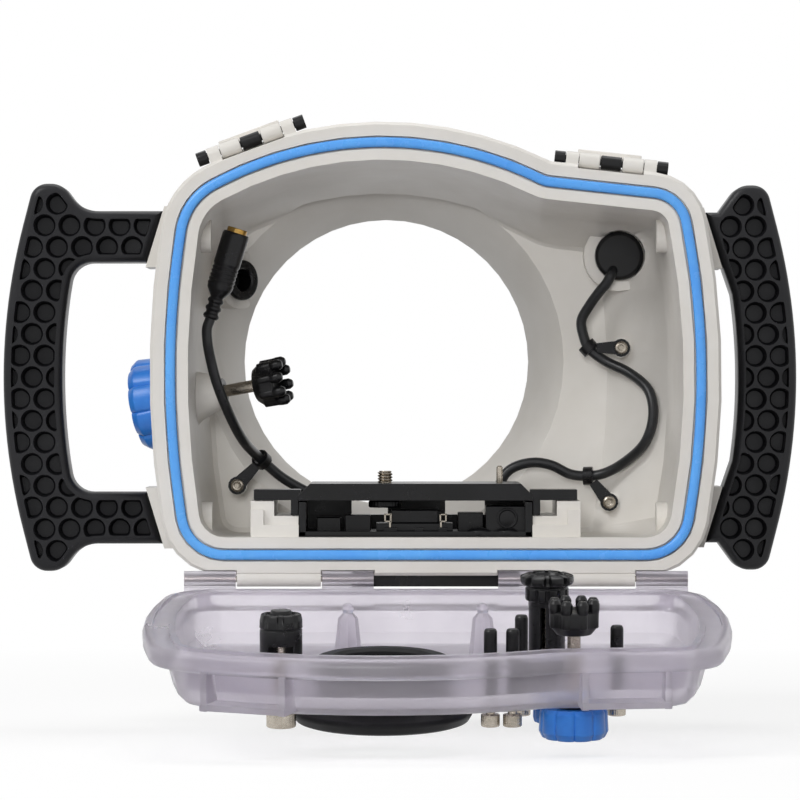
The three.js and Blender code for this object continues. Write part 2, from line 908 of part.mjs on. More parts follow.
function bodyShell() {
  const outside = [
    ring(even(rimEdge - rimOuter), rimY),
    ring(even(-rimOuter), rimY + rimEdge),
    ring(even(-rimOuter), rimY + rimThick - rimEdge),
    ring(even(rimEdge - rimOuter), rimY + rimThick),
    ring(shifted(rimInsets, -bodyWall), rimY + rimThick),
    ring(shifted(kneeInsets, -bodyWall), rimY + kneeDepth),
    ring(shifted(frontInsets, -bodyWall), rimY + chamberDepth),
    ring(shifted(frontInsets, -bodyWall + frontRound), rimY + bodyDepth),
  ];
  const chamber = [
    ring(rimInsets, rimY - overrun),
    ring(rimInsets, rimY),
    ring(kneeInsets, rimY + kneeDepth),
    ring(frontInsets, rimY + facetDepth),
    ring(shifted(frontInsets, chamberRound), rimY + chamberDepth),
  ];
  const groove = [
    ring(even(-grooveHalf), rimY - overrun),
    ring(even(grooveHalf), rimY - overrun),
    ring(even(grooveHalf), rimY + grooveDepth),
    ring(even(-grooveHalf), rimY + grooveDepth),
  ];
  const collar = [
    [0, portCollarStart],
    [portCollarRadius, portCollarStart],
    [portCollarRadius, bodyDepth + portReach],
    [0, bodyDepth + portReach],
  ];
  const bore = [
    [0, chamberDepth - frontWall],
    [portBackRadius, chamberDepth - frontWall],
    [portBackRadius, chamberDepth],
    [portThroatRadius, portThroatDepth],
    [portMouthRadius, portMouthDepth],
    [portMouthRadius, bodyDepth + portReach + overrun],
    [0, bodyDepth + portReach + overrun],
  ];
  const foot = box(
    footMargin - plateWidth / 2,
    plateWidth / 2 - footMargin,
    rimY + rimThick / 2,
    plateLength / 2,
    plateThick + seatGap,
    sealBottom + rimInner - bodyWall / 2,
  );
  const inChamber = solid(skin(chamber));
  const portPlaced = (profile) => turned(profile, 48).translate(portX, rimY, portZ);
  const barrels = [-1, 1].map((hand) => {
    const ends = [hand * barrelStart, hand * (barrelStart + barrelWidth)].sort((a, b) => a - b);
    return rodX(hingeRadius, ends[0], ends[1], 14).translate(0, hingeY, hingeZ);
  });
  const pads = grips.flatMap((grip) => gripPads(grip).map((pad) => pad.shape));
  let shell = join(
    cut(join(skin(outside), portPlaced(collar), glandSleeve(), foot, ...pads), inChamber),
    ...barrels,
    ...latches.flatMap(latchEars),
    ...latches.map(latchBed),
  );
  const fittings = [
    ...grips.flatMap((grip) => [-1, 1].map((end2) => innerBoss(grip, end2))),
    zoomBoss(),
    bushBoss(),
    glandBoss(),
    ...clips.map(clipBoss),
    rail(-1),
    rail(1),
  ];
  shell = join(shell, ...fittings);
  const notches = knuckleSpans.map(([x0, x1]) => knuckleNotch(x0 - runGap, x1 + runGap));
  const holes = [
    skin(groove, true),
    portPlaced(bore),
    zoomBore(),
    bushSeat(),
    glandSeat(),
    glandRecess(),
    ...notches,
    ...clips.map(clipHole),
    ...grips.flatMap((grip) => [-1, 1].map((end2) => gripScrewHole(grip, end2))),
    ...latches.map(latchRecess),
    ...latches.map((latch) => latchPlaced(rodX(latchPinRadius + seatGap, -capEnd, capEnd, 12), latch)),
    rodX(hingePinRadius + seatGap, -knuckleEnd, knuckleEnd, 10).translate(0, hingeY, hingeZ),
    ...[-1, 1].map((hand) => plateScrewHole(hand)),
  ];
  return cut(shell, ...holes);
}

// Hinge: two door knuckles and one body barrel on either side of the middle
const innerKnuckleEnd = innerKnuckleStart + knuckleWidth;
const barrelStart = innerKnuckleEnd + runGap;
const outerSpan = Math.min(leftReach, rightReach) - hingeEndInset - knuckleWidth;
const barrelWidth = outerSpan - barrelStart - runGap;
const outerKnuckleStart = barrelStart + barrelWidth + runGap;
const knuckleEnd = outerKnuckleStart + knuckleWidth;
const knuckleSpans = [
  [-knuckleEnd, -outerKnuckleStart],
  [-innerKnuckleEnd, -innerKnuckleStart],
  [innerKnuckleStart, innerKnuckleEnd],
  [outerKnuckleStart, knuckleEnd],
];

function knuckleNotch(x0, x1) {
  const reach = hingeRadius + runGap;
  const round = rodX(reach, x0, x1, 16).translate(0, hingeY, hingeZ);
  const mouth = box(x0, x1, rimY - overrun, hingeY, hingeZ - reach, hingeZ + reach);
  return join(round, mouth);
}

function plateScrewHole(hand) {
  const end = screwHeadHeight + plateScrewLength + runGap;
  const hole = rodY(screwRadius + seatGap, -overrun, end, 10).rotateX(Math.PI / 2);
  return hole.translate(0, (hand * plateScrewPitch) / 2, 0);
}

// A turned socket screw with its head above y = 0 and its shank below.
function screw(radius, headRadius, headHeight, length) {
  const socket = radius * shares.socket;
  return turned([
    [0, headHeight / 2],
    [socket, headHeight / 2],
    [socket, headHeight],
    [headRadius, headHeight],
    [headRadius, 0],
    [radius, 0],
    [radius, -length],
    [0, -length],
  ], 8);
}

function seal() {
  const floor = rimY + grooveDepth - seatGap;
  const crown = rimY - sealProud;
  const middle = (floor + crown) / 2;
  const slim = sealHalf * shares.sealFoot;
  return skin([
    ring(even(-slim), floor),
    ring(even(-sealHalf), middle),
    ring(even(0), crown),
    ring(even(sealHalf), middle),
    ring(even(slim), floor),
  ], true);
}

function basePlate() {
  const plate = box(-plateWidth / 2, plateWidth / 2, -plateLength / 2, plateLength / 2, 0, plateThick);
  const tripod = rodY(tripodHoleRadius, -overrun, plateThick + overrun, 16).rotateX(Math.PI / 2);
  tripod.translate(0, tripodHoleRun, 0);
  const sinks = [-1, 1].map((hand) => {
    const sink = rodY(screwHeadRadius + seatGap, -overrun, screwHeadHeight + seatGap, 14);
    return sink.rotateX(Math.PI / 2).translate(0, (hand * plateScrewPitch) / 2, 0);
  });
  return cut(plate, tripod, ...sinks, plateScrewHole(-1), plateScrewHole(1));
}

// One half of the grip's outline, from its arm's end over the horn and down the bowed bar.
function gripHalf(out) {
  const bowAt = (w) => out - (w * w) / (2 * gripBowRadius);
  const tangentFrom = gripArmHalf * shares.hornTangent;
  const lean = tangentFrom / gripBowRadius;
  const hornOut = bowAt(tangentFrom) - (gripHalfHeight - tangentFrom) * lean;
  const hornIn = hornOut - gripHornTop;
  return { bowAt, hornOut, hornIn, tangentFrom };
}

// Corners given as [x, z, radius]; each is rounded as far as its two edges leave room.
function rounded(corners, steps) {
  const spots = corners.map(([x, z]) => new THREE.Vector2(x, z));
  const points = [];
  corners.forEach(([, , radius], i) => {
    const here = spots[i];
    if (!radius) {
      points.push(here);
      return;
    }
    const sides = [corners.length - 1, 1].map((step) => (i + step) % corners.length);
    const rooms = sides.map((side) => {
      const share = corners[side][2] ? sharedEdgeShare : freeEdgeShare;
      return spots[side].distanceTo(here) * share;
    });
    const [back, on] = sides.map((side) => spots[side].clone().sub(here).normalize());
    const half = Math.acos(THREE.MathUtils.clamp(back.dot(on), -1, 1)) / 2;
    const run = Math.min(radius / Math.tan(half), ...rooms);
    const centre = back.clone().add(on).setLength(run / Math.cos(half)).add(here);
    const start = here.clone().addScaledVector(back, run);
    const end = here.clone().addScaledVector(on, run);
    points.push(...arcPoints(centre, start, end, steps));
  });
  return points;
}

function gripOutline(grip) {
  const { bowAt, hornOut, hornIn, tangentFrom } = gripHalf(grip.out);
  const inner = (w) => bowAt(w) - gripBarWidth;
  const valley = hornIn - gripHornRun;
  const padIn = padOut(grip, armInnerHalf) + seatGap;
  const roomy = inner(armInnerHalf) - padIn > gripCornerRadius;
  const upper = [
    [padOut(grip, gripArmHalf) + seatGap, gripArmHalf, 0],
    [valley, gripArmHalf, roomy ? gripHornBlend : 0],
    [hornIn, gripHalfHeight, gripHornRadius],
    [hornOut, gripHalfHeight, gripHornRadius],
  ];
  const outerBow = [];
  const innerBow = [];
  const bowCount = 8;
  for (let i = 0; i <= bowCount; i += 1) {
    const share = 1 - (2 * i) / bowCount;
    outerBow.push([bowAt(tangentFrom * share), tangentFrom * share, 0]);
  }
  const innerReach = armInnerHalf - gripCornerRadius * shares.innerBow;
  for (let i = 0; i <= bowCount; i += 1) {
    const share = (2 * i) / bowCount - 1;
    innerBow.push([inner(innerReach * share), innerReach * share, 0]);
  }
  const elbows = roomy ? [[inner(armInnerHalf), armInnerHalf, gripCornerRadius]] : [];
  const mirror = ([u, w, r]) => [u, -w, r];
  const corners = [
    ...upper,
    ...outerBow,
    ...upper.map(mirror).reverse(),
    [padIn, -armInnerHalf, 0],
    ...elbows.map(mirror),
    ...innerBow,
    ...elbows,
    [padIn, armInnerHalf, 0],
  ];
  return rounded(corners, 5);
}

function pocketGrid(grip, start, depth) {
  const cells = [];
  const rows = Math.ceil(gripHalfHeight / pocketRowPitch);
  const columns = Math.ceil((grip.reach + padSlope) / pocketPitch) + 1;
  for (let row = -rows; row <= rows; row += 1) {
    for (let column = -1; column < columns; column += 1) {
      const shift = row % 2 === 0 ? pocketPitch / 2 : 0;
      const u = grip.out - pocketShift - column * pocketPitch + shift;
      cells.push(rodY(pocketRadius, start, start + depth, 6).translate(u, 0, row * pocketRowPitch));
    }
  }
  return cells;
}

function gripBody(grip) {
  const shape = new THREE.Shape(gripOutline(grip));
  const straightRun = gripThick - 2 * gripBevel;
  const main = new THREE.ExtrudeGeometry(shape, {
    depth: straightRun,
    bevelThickness: gripBevel,
    bevelSize: gripBevel,
    bevelOffset: -gripBevel,
    bevelSegments: 2,
  });
  const border = new THREE.ExtrudeGeometry(shape, {
    depth: gripThick,
    bevelThickness: overrun,
    bevelSize: 0,
    bevelOffset: -pocketBorder,
    bevelSegments: 1,
  });
  main.rotateX(Math.PI / 2).translate(0, gripThick / 2 - gripBevel, 0);
  border.rotateX(Math.PI / 2).translate(0, gripThick / 2, 0);
  const cells = join(...pocketGrid(grip, -gripThick / 2 - overrun, pocketDepth + overrun));
  const whole = Math.PI * pocketRadius ** 2 * pocketDepth;
  const pockets = cells.intersect(solid(border)).decompose().filter((cell) => cell.volume() > whole / 5);
  const feet = [-1, 1].map((end2) => {
    const low = armInnerHalf + padSpill;
    const high = gripArmHalf - padSpill;
    const points = [
      [padOut(grip, low) + seatGap, low],
      [grip.foot, low],
      [grip.foot, high],
      [padOut(grip, high) + seatGap, high],
    ].map(([u, w]) => [u, end2 * w]);
    return prismY(points, gripThick / 2 - gripBevel - overrun, gripThick / 2 + footRun);
  });
  const body = cut(join(main, ...feet), ...pockets);
  const placed = geometryOf(body);
  if (grip.hand < 0) placed.scale(-1, 1, 1);
  placed.translate(0, rimY + grip.depth, gripZ);
  return cut(placed, gripScrewHole(grip, -1), gripScrewHole(grip, 1));
}

function gripScrew(grip, end2) {
  const shape = screw(screwRadius, screwHeadRadius, screwHeadHeight, gripScrewLength);
  alongX(shape).translate(grip.foot + seatGap, 0, 0);
  if (grip.hand < 0) shape.rotateZ(Math.PI);
  return shape.translate(0, rimY + grip.depth + (gripThick + footRun) / 2, gripZ + end2 * armMiddle);
}

// A fluted knob from y = 0 up, its flutes one wave each.
function flutedKnob(radius, thick, lobes) {
  const wave = radius * shares.flute;
  const points = [];
  const perLobe = 4;
  for (let i = 0; i < lobes * perLobe; i += 1) {
    const angle = (2 * Math.PI * i) / (lobes * perLobe);
    const reach = radius - wave * (1 - Math.cos(lobes * angle)) / 2;
    points.push([reach * Math.cos(angle), reach * Math.sin(angle)]);
  }
  const edge = thick / 8;
  const knob = new THREE.ExtrudeGeometry(shapeOf(points), {
    depth: thick - 2 * edge,
    bevelThickness: edge,
    bevelSize: edge,
    bevelOffset: -edge,
    bevelSegments: 1,
  });
  return knob.translate(0, 0, edge).rotateX(-Math.PI / 2);
}

// A wheel from y = 0 up with a ring of round prongs standing on it.
function prongedWheel() {
  const crownY = wheelBody;
  const body = turned([
    [0, 0],
    [wheelRadius * shares.wheelBase, 0],
    [wheelRadius - prongRadius / 2, crownY / 3],
    [wheelRadius - prongRadius / 2, crownY],
    [0, crownY],
  ], 18);
  const prongs = [];
  for (let i = 0; i < prongCount; i += 1) {
    const angle = (2 * Math.PI * (i + 0.5)) / prongCount;
    const top = crownY + prongProud;
    const prong = turned([
      [0, crownY / 3],
      [prongRadius, crownY / 3],
      [prongRadius, top - prongRadius * shares.prongTip],
      [prongRadius * shares.prongTip, top],
      [0, top],
    ], 6);
    const out = wheelRadius - prongRadius;
    prongs.push(prong.translate(out * Math.cos(angle), 0, out * Math.sin(angle)));
  }
  return join(body, ...prongs);
}

function wheelOn(boreRadius, depth) {
  return cut(prongedWheel(), rodY(boreRadius + seatGap, -overrun, depth + seatGap, 12));
}

function zoomControl(root) {
  const group = new THREE.Group();
  group.applyMatrix4(zoomTurn);
  root.add(group);
  const grip = wheelBody / 2;
  const knob = cut(
    flutedKnob(zoomKnobRadius, zoomKnobThick, 10),
    rodY(zoomShaftRadius + seatGap, -overrun, grip + seatGap, 12),
  );
  const knobShape = geometryOf(knob).rotateZ(Math.PI / 2).translate(-zoomKnobStand, 0, 0);
  piece(group, 'zoom_knob', knobShape, blue);
  piece(group, 'zoom_shaft', rodX(zoomShaftRadius, -zoomKnobStand - grip, zoomWheelStart + grip, 12), steel);
  const wheel = alongX(geometryOf(wheelOn(zoomShaftRadius, grip))).translate(zoomWheelStart, 0, 0);
  piece(group, 'zoom_wheel', wheel, black);
}

function zoomWasher() {
  const start = zoomBossLength + seatGap;
  const bore = zoomShaftRadius + seatGap;
  const profile = [
    [bore, start],
    [zoomWasherRadius, start],
    [zoomWasherRadius, start + zoomWasherThick],
    [bore, start + zoomWasherThick],
    [bore, start],
  ];
  return alongX(turned(profile, 16)).applyMatrix4(zoomTurn);
}

// A flanged tube, lipped over its boss and closed at its outer end.
function bush() {
  const sleeve = bushRadius - bushLip;
  const profile = [
    [0, -bushLength],
    [sleeve, -bushLength],
    [sleeve, seatGap],
    [bushRadius, seatGap],
    [bushRadius, seatGap + bushLip],
    [bushBore, seatGap + bushLip],
    [bushBore, -bushLength / 2],
    [0, -bushLength / 2],
  ];
  return alongX(turned(profile, 16)).applyMatrix4(bushTurn);
}

function glandCap() {
  const face = rimY + glandDepth - seatGap;
  const edge = glandThick / 5;
  const profile = [
    [0, face - glandThick],
    [glandRadius - edge, face - glandThick],
    [glandRadius, face - glandThick + edge],
    [glandRadius, face],
    [glandStemRadius, face],
    [glandStemRadius, face + glandStemLength],
    [0, face + glandStemLength],
  ];
  return turned(profile, 18).translate(glandX, 0, glandZ);
}

function circleShape(radius, sides) {
  const points = [];
  for (let i = 0; i < sides; i += 1) {
    const angle = (2 * Math.PI * i) / sides;
    points.push([radius * Math.cos(angle), radius * Math.sin(angle)]);
  }
  return shapeOf(points);
}

function cable(route, steps) {
  const spots = route.map(([x, y, z]) => new THREE.Vector3(x, y, z));
  const path = new THREE.CatmullRomCurve3(spots, false, 'centripetal');
  const options = { steps, extrudePath: path, bevelEnabled: false };
  return new THREE.ExtrudeGeometry(circleShape(cableRadius, 8), options);
}

function clipStrap(clip) {
  const [before, here, after] = [-1, 0, 1].map((step) => new THREE.Vector3(...clip.route[clip.at + step]));
  const along = after.clone().sub(before).normalize();
  const span = Math.hypot(clip.screw[0] - here.x, clip.screw[1] - here.z);
  const turn = Math.atan2(clip.screw[1] - here.z, clip.screw[0] - here.x);
  const face = clipFace(clip) - seatGap;
  const loop = cableRadius + clipSlack;
  const lean = new THREE.Quaternion().setFromUnitVectors(new THREE.Vector3(0, 1, 0), along);
  const wound = (radius, width) => rodY(radius, -width / 2, width / 2, 12)
    .applyQuaternion(lean).translate(here.x, here.y, here.z);
  const laid = (geometry) => geometry.rotateY(-turn).translate(here.x, face, here.z);
  const tab = laid(prismY([
    [loop + clipThick / 2, -clipWidth / 2],
    [span, -clipRootWidth / 2],
    [span, clipRootWidth / 2],
    [loop + clipThick / 2, clipWidth / 2],
  ], -clipThick, 0));
  const eye = laid(rodY(clipEyeRadius, -clipThick, 0, 14).translate(span, 0, 0));
  const screwHole = laid(rodY(smallScrewRadius + seatGap, -clipWidth, clipWidth, 8).translate(span, 0, 0));
  return cut(join(wound(loop + clipThick, clipWidth), tab, eye), wound(loop, 3 * clipWidth), screwHole);
}

function clipScrew(clip) {
  const shape = screw(smallScrewRadius, smallHeadRadius, smallHeadHeight, smallScrewLength);
  const face = clipFace(clip) - clipThick - 2 * seatGap;
  return shape.rotateX(Math.PI).translate(clip.screw[0], face, clip.screw[1]);
}

// A moulded socket on the left cable, with rings of its strain relief below it.
function connectorTurn() {
  return new THREE.Matrix4()
    .makeTranslation(leftRoute[0][0], leftRoute[0][1], leftRoute[0][2])
    .multiply(new THREE.Matrix4().makeRotationY(radians(connectorLeanAngle)))
    .multiply(new THREE.Matrix4().makeRotationX(Math.PI / 2));
}

const connectorLeanAngle = 17;

function connector() {
  const ribs = 3;
  const ribPitch = connectorRelief / ribs;
  const waist = connectorNeck * shares.reliefWaist;
  const profile = [[0, seatGap]];
  for (let i = 0; i < ribs; i += 1) {
    const from = seatGap + i * ribPitch;
    const to = from + ribPitch / 2;
    profile.push([waist, from], [connectorNeck, from], [connectorNeck, to], [waist, to]);
  }
  const start = seatGap + connectorRelief;
  profile.push([waist, start], [connectorRadius, start + connectorRadius]);
  profile.push([connectorRadius, start + connectorLength], [connectorTipRadius, start + connectorLength]);
  profile.push([connectorTipRadius, start + connectorLength / 2], [0, start + connectorLength / 2]);
  return turned(profile, 10).applyMatrix4(connectorTurn());
}

function connectorTip() {
  const end = seatGap + connectorRelief + connectorLength;
  const outer = connectorTipRadius - seatGap;
  const bore = outer * shares.tipBore;
  const profile = [
    [bore, end - connectorTipLength],
    [outer, end - connectorTipLength],
    [outer, end + connectorTipLength / 2],
    [bore, end + connectorTipLength / 2],
    [bore, end - connectorTipLength],
  ];
  return turned(profile, 10).applyMatrix4(connectorTurn());
}

// Tray
const trayBottom = floorZ + railHigh + seatGap - trayDrop;
const trayTop = trayBottom + trayThick;
const trayY = rimY + trayDepthStart;

function trayPlate() {
  const top = [
    [trayLeft, trayBottom],
    [trayRight, trayBottom],
    [trayRight, trayTop - trayChamfer],
    [trayRight - trayChamfer, trayTop],
    [trayLeft + trayChamfer, trayTop],
    [trayLeft, trayTop - trayChamfer],
  ];
  const plate = prismY(top, trayY, trayY + trayLength);
  const extras = [-1, 1].flatMap((hand) => {
    const edge = hand > 0 ? trayRight : -trayLeft;
    const earBottom = floorZ + railHigh + seatGap;
    const ear = [edge - overrun, edge + trayEarWidth].map((u) => hand * u).sort((a, b) => a - b);
    const legBottom = floorZ + railLow + seatGap;
    const legTop = earBottom + trayEarThick / 2;
    const leg = [
      [edge, legBottom],
      [edge + trayLegThick, legBottom],
      [edge + trayLegThick, legTop],
      [edge - overrun, legTop],
      [edge - overrun, trayBottom],
      [edge, trayBottom],
    ].map(([u, z]) => [hand * u, z]);
    return [
      box(ear[0], ear[1], trayY + seatGap, trayY + trayEarLength, earBottom, earBottom + trayEarThick),
      prismY(leg, trayY + seatGap, trayY + trayLength - seatGap),
    ];
  });
  const bore = rodY(cameraScrewRadius + seatGap, -overrun, trayThick + overrun, 16).rotateX(Math.PI / 2);
  bore.translate(trayX + cameraScrewShift, rimY + cameraScrewDepth, trayBottom);
  const pinHole = rodY(locatingPinRadius + seatGap, trayThick / 2, trayThick + overrun, 8);
  pinHole.rotateX(Math.PI / 2).translate(trayX + locatingPinShift, rimY + cameraScrewDepth, trayBottom);
  return cut(join(plate, ...extras), bore, pinHole);
}

function locatingPin() {
  const start = trayThick / 2 + seatGap;
  const pin = rodY(locatingPinRadius, start, trayThick + locatingPinProud, 10).rotateX(Math.PI / 2);
  return pin.translate(trayX + locatingPinShift, rimY + cameraScrewDepth, trayBottom);
}

// The screw that holds the camera: a thumb head under the tray and a ridged end above it.
function cameraScrew() {
  const tip = trayThick + cameraScrewProud;
  const turns = Math.floor(cameraScrewProud / threadPitch);
  const core = cameraScrewRadius - threadDepth;
  const profile = [
    [0, -cameraScrewHeadThick - seatGap],
    [cameraScrewHead, -cameraScrewHeadThick - seatGap],
    [cameraScrewHead, -seatGap],
    [core, -seatGap],
    [core, tip - turns * threadPitch],
  ];
  for (let i = turns; i > 0; i -= 1) {
    profile.push([cameraScrewRadius, tip - (i - 0.5) * threadPitch], [core, tip - (i - 1) * threadPitch]);
  }
  profile.push([0, tip]);
  return turned(profile, 12).rotateX(Math.PI / 2)
    .translate(trayX + cameraScrewShift, rimY + cameraScrewDepth, trayBottom);
}

// An open box under the tray: side walls, and a back wall with two gaps in its top
function trayFrame() {
  const left = trayLeft + seatGap;
  const right = trayRight - seatGap;
  const base = floorZ + seatGap;
  const top = trayBottom - 2 * seatGap;
  const outer = box(left, right, trayY, trayY + trayLength, base, top);
  const hollow = box(
    left + frameWallThick,
    right - frameWallThick,
    trayY - overrun,
    trayY + trayLength - frameBackThick,
    base + frameFloorThick,
    top + overrun,
  );
  const gapStart = left + frameLeftBlock;
  const gaps = [
    [gapStart, gapStart + frameLeftGap],
    [gapStart + frameLeftGap + frameCentreBlock, right - frameRightBlock],
  ].map(([x0, x1]) => {
    return box(x0, x1, trayY, trayY + trayLength + overrun, top - frameGapDrop, top + overrun);
  });
  const block = box(
    trayX - contactWidth / 2,
    trayX + contactWidth / 2,
    trayY + contactDepthStart,
    trayY + contactDepthStart + contactLength,
    base + frameFloorThick - overrun,
    base + frameFloorThick + contactHeight,
  );
  return join(cut(outer, hollow, ...gaps), block);
}

// A bent metal strip with an upright ear at either end, in front of the contact block.
function contactFrame() {
  const base = floorZ + 2 * seatGap + frameFloorThick;
  const front = trayY + contactDepthStart - 2 * bracketWidth;
  const half = (bracketPitch + bracketWidth) / 2;
  const strip = box(trayX - half, trayX + half, front, front + bracketWidth, base, base + bracketWidth / 2);
  const ears = [-1, 1].map((hand) => {
    const x = trayX + (hand * bracketPitch) / 2;
    const [x0, x1] = [x - bracketWidth / 2, x + bracketWidth / 2];
    return box(x0, x1, front, front + bracketWidth / 2, base, base + bracketHeight);
  });
  return join(strip, ...ears);
}

function latchPin() {
  const start = earEnd + seatGap;
  return join(
    rodX(latchPinRadius, -start - overrun, start + overrun, 10),
    rodX(latchCapRadius, -capEnd - seatGap, -start, 10),
    rodX(latchCapRadius, start, capEnd + seatGap, 10),
  );
}

function lever() {
  const arms = [-1, 1].flatMap((hand) => {
    const ends = [hand * (armStart + seatGap), hand * armEnd].sort((a, b) => a - b);
    return [
      rodX(leverHub, ends[0], ends[1], 14),
      box(ends[0], ends[1], 0, leverLength, 0, leverThick),
    ];
  });
  const bridge = box(-armEnd, armEnd, leverBridgeStart, leverLength, 0, leverThick);
  const lip = box(-armEnd, armEnd, leverLength - leverLipThick, leverLength, 0, leverLip);
  const bore = rodX(latchPinRadius + seatGap, -armEnd - overrun, armEnd + overrun, 12);
  return cut(join(...arms, bridge, lip), bore);
}

function claw() {
  const half = armStart - seatGap;
  const block = join(
    rodX(clawRadius, -half, half, 14),
    box(-half, half, 0, clawLength, -clawRadius / 2, clawRadius),
  );
  return cut(block, rodX(latchPinRadius + seatGap, -half - overrun, half + overrun, 12));
}

function latchParts(root, latch) {
  const group = new THREE.Group();
  group.position.set(latch.x, rimY + latchDepth, latch.z);
  group.rotation.y = -latch.tilt;
  root.add(group);
  piece(group, `latch_pin_${latch.hand}`, latchPin(), black);
  piece(group, `latch_lever_${latch.hand}`, lever(), white);
  piece(group, `latch_claw_${latch.hand}`, claw(), black);
}

// Door, drawn closed with the hinge axis as its origin
function doorRing(insets, y) {
  return outline(insets).map((p) => new THREE.Vector3(p.x, y, p.y - hingeZ));
}

// Rings round an edge of the door: from its side, which stands at an inset, over to its face at a height.
function roundedRings(inset, face, radius, steps, towards) {
  const rings = [];
  for (let i = 0; i <= steps; i += 1) {
    const angle = (Math.PI * i) / (2 * steps);
    const inwards = radius * (1 - Math.cos(angle));
    const back = radius * (1 - Math.sin(angle));
    rings.push(doorRing(even(inset + inwards), face + towards * back));
  }
  return rings;
}

function doorHole(x, reach, radius, from, to, sides) {
  return rodY(radius, from, to, sides).translate(x, 0, reach);
}

function doorCatch(latch) {
  const flangeBack = matingY - doorFlange;
  const top = -leverHub - 2 * seatGap;
  const root = -latchOut - dishInset - dishDraft - doorWall;
  const toLatch = hingeY - rimY - latchDepth;
  const start = flangeBack + toLatch + overrun;
  const parts = [-1, 1].map((hand) => {
    const ends = [hand * (catchWidth / 2 - catchRib), (hand * catchWidth) / 2].sort((a, b) => a - b);
    return box(ends[0], ends[1], start - catchRun, start, root, top - overrun);
  });
  const barBack = start - catchBarRun;
  const bar = box(-catchWidth / 2, catchWidth / 2, barBack - catchBarThick, barBack, root, top);
  return geometryOf(join(...parts, bar))
    .rotateY(-latch.tilt)
    .translate(latch.x, -toLatch, latch.z - hingeZ);
}

const buttons = [
  { name: 'a', x: dialX - 32.8, reach: doorReach - farButtonInset, top: 6.2 },
  { name: 'b', x: dialX - 24.2, reach: doorReach - farButtonInset, top: 6.2 },
  { name: 'c', x: dialX - 20.2, reach: doorReach - nearButtonInset, top: 7.7 },
  { name: 'd', x: dialX + 17.4, reach: doorReach - nearButtonInset, top: 3.6 },
];

// A clear fluted cone with a round tip, moulded on the door's floor.
function lightCone(x) {
  const flutes = 8;
  const foot = { share: 0, radius: coneBaseRadius };
  const rings = [foot, ...coneTop].map(({ share, radius }, row) => {
    const hollow = row < 2 ? coneFlute : 1;
    const y = doorInY + (row ? coneHeight * share : -doorWall / 2);
    const points = [];
    for (let i = 0; i < 2 * flutes; i += 1) {
      const angle = (Math.PI * i) / flutes;
      const reach = i % 2 === 0 ? radius : radius * hollow;
      points.push(new THREE.Vector3(reach * Math.cos(angle), y, reach * Math.sin(angle)));
    }
    return points;
  });
  return skin(rings).translate(x, 0, coneReach);
}

function doorShell() {
  const flangeOut = matingY - doorFlange;
  const outside = [
    ...roundedRings(-doorOuter, matingY, flangeRound, flangeSteps, -1).reverse(),
    ...roundedRings(-doorOuter, flangeOut, flangeRound, flangeSteps, 1),
    doorRing(even(dishInset), flangeOut),
    ...roundedRings(dishInset + dishDraft, doorOutY, dishRound, dishSteps, 1),
  ];
  const innerInset = dishInset + doorWall;
  const inside = [
    doorRing(even(innerInset), matingY + overrun),
    doorRing(even(innerInset + dishDraft), doorInY + dishRound / 2),
    doorRing(even(innerInset + dishDraft + dishRound / 2), doorInY),
  ];
  const channel = [
    doorRing(even(-channelHalf), matingY + overrun),
    doorRing(even(channelHalf), matingY + overrun),
    doorRing(even(channelHalf), matingY - channelDepth),
    doorRing(even(-channelHalf), matingY - channelDepth),
  ];
  const flangeFoot = sealBottom - doorOuter - hingeZ + overrun;
  const knuckles = knuckleSpans.flatMap(([x0, x1]) => [
    rodX(hingeRadius, x0, x1, 14),
    box(x0, x1, flangeOut, 0, -hingeRadius, hingeRadius * shares.knuckleFoot),
    box(x0, x1, flangeOut, matingY, -hingeRadius, flangeFoot),
  ]);
  const guides = buttons.map((button) => {
    return doorHole(button.x, button.reach, guideRadius, doorOutY - guideHeight, doorOutY + overrun, 14);
  });
  const bores = [
    doorHole(dialX, dialReach, shaftRadius + seatGap, doorOutY - overrun, doorInY + overrun, 12),
    doorHole(mushroomX, mushroomReach, shaftRadius + seatGap, doorOutY - overrun, doorInY + overrun, 12),
    doorHole(crownX, crownReach, shaftRadius + seatGap, doorOutY - overrun, doorInY + overrun, 12),
    doorHole(eyeX, eyeReach, eyeBoreRadius, doorOutY - overrun, doorInY + overrun, 32),
    ...buttons.map((button) => {
      const start = doorOutY - guideHeight - overrun;
      return doorHole(button.x, button.reach, buttonStemRadius + seatGap, start, doorInY + overrun, 10);
    }),
    rodX(hingePinRadius + seatGap, -knuckleEnd - overrun, knuckleEnd + overrun, 10),
  ];
  const shell = join(skin(outside), ...knuckles, ...latches.map(doorCatch), ...guides);
  const cones = [-1, 1].map((hand) => lightCone(coneShift + hand * coneX));
  return join(cut(shell, skin(inside), skin(channel, true), ...bores), ...cones);
}

// Inner and outer halves of the eyepiece, clamped either side of the door's floor
function eyeRing() {
  const base = doorInY + seatGap;
  const top = base + eyeRingHeight;
  const ledge = eyeBoreRadius - 2 * doorWall / 3;
  const profile = [
    [eyeBoreRadius, base],
    [eyeRingRadius, base],
    [eyeRingRadius, top - doorEdge],
    [eyeRingRadius - doorEdge, top],
    [ledge, top],
    [ledge, base + eyeWindowThick + 2 * seatGap],
    [eyeBoreRadius, base + eyeWindowThick + 2 * seatGap],
    [eyeBoreRadius, base],
  ];
  return turned(profile, 32).translate(eyeX, 0, eyeReach);
}

function eyeWindow() {
  const base = doorInY + seatGap;
  return doorHole(eyeX, eyeReach, eyeBoreRadius - seatGap, base, base + eyeWindowThick, 32);
}

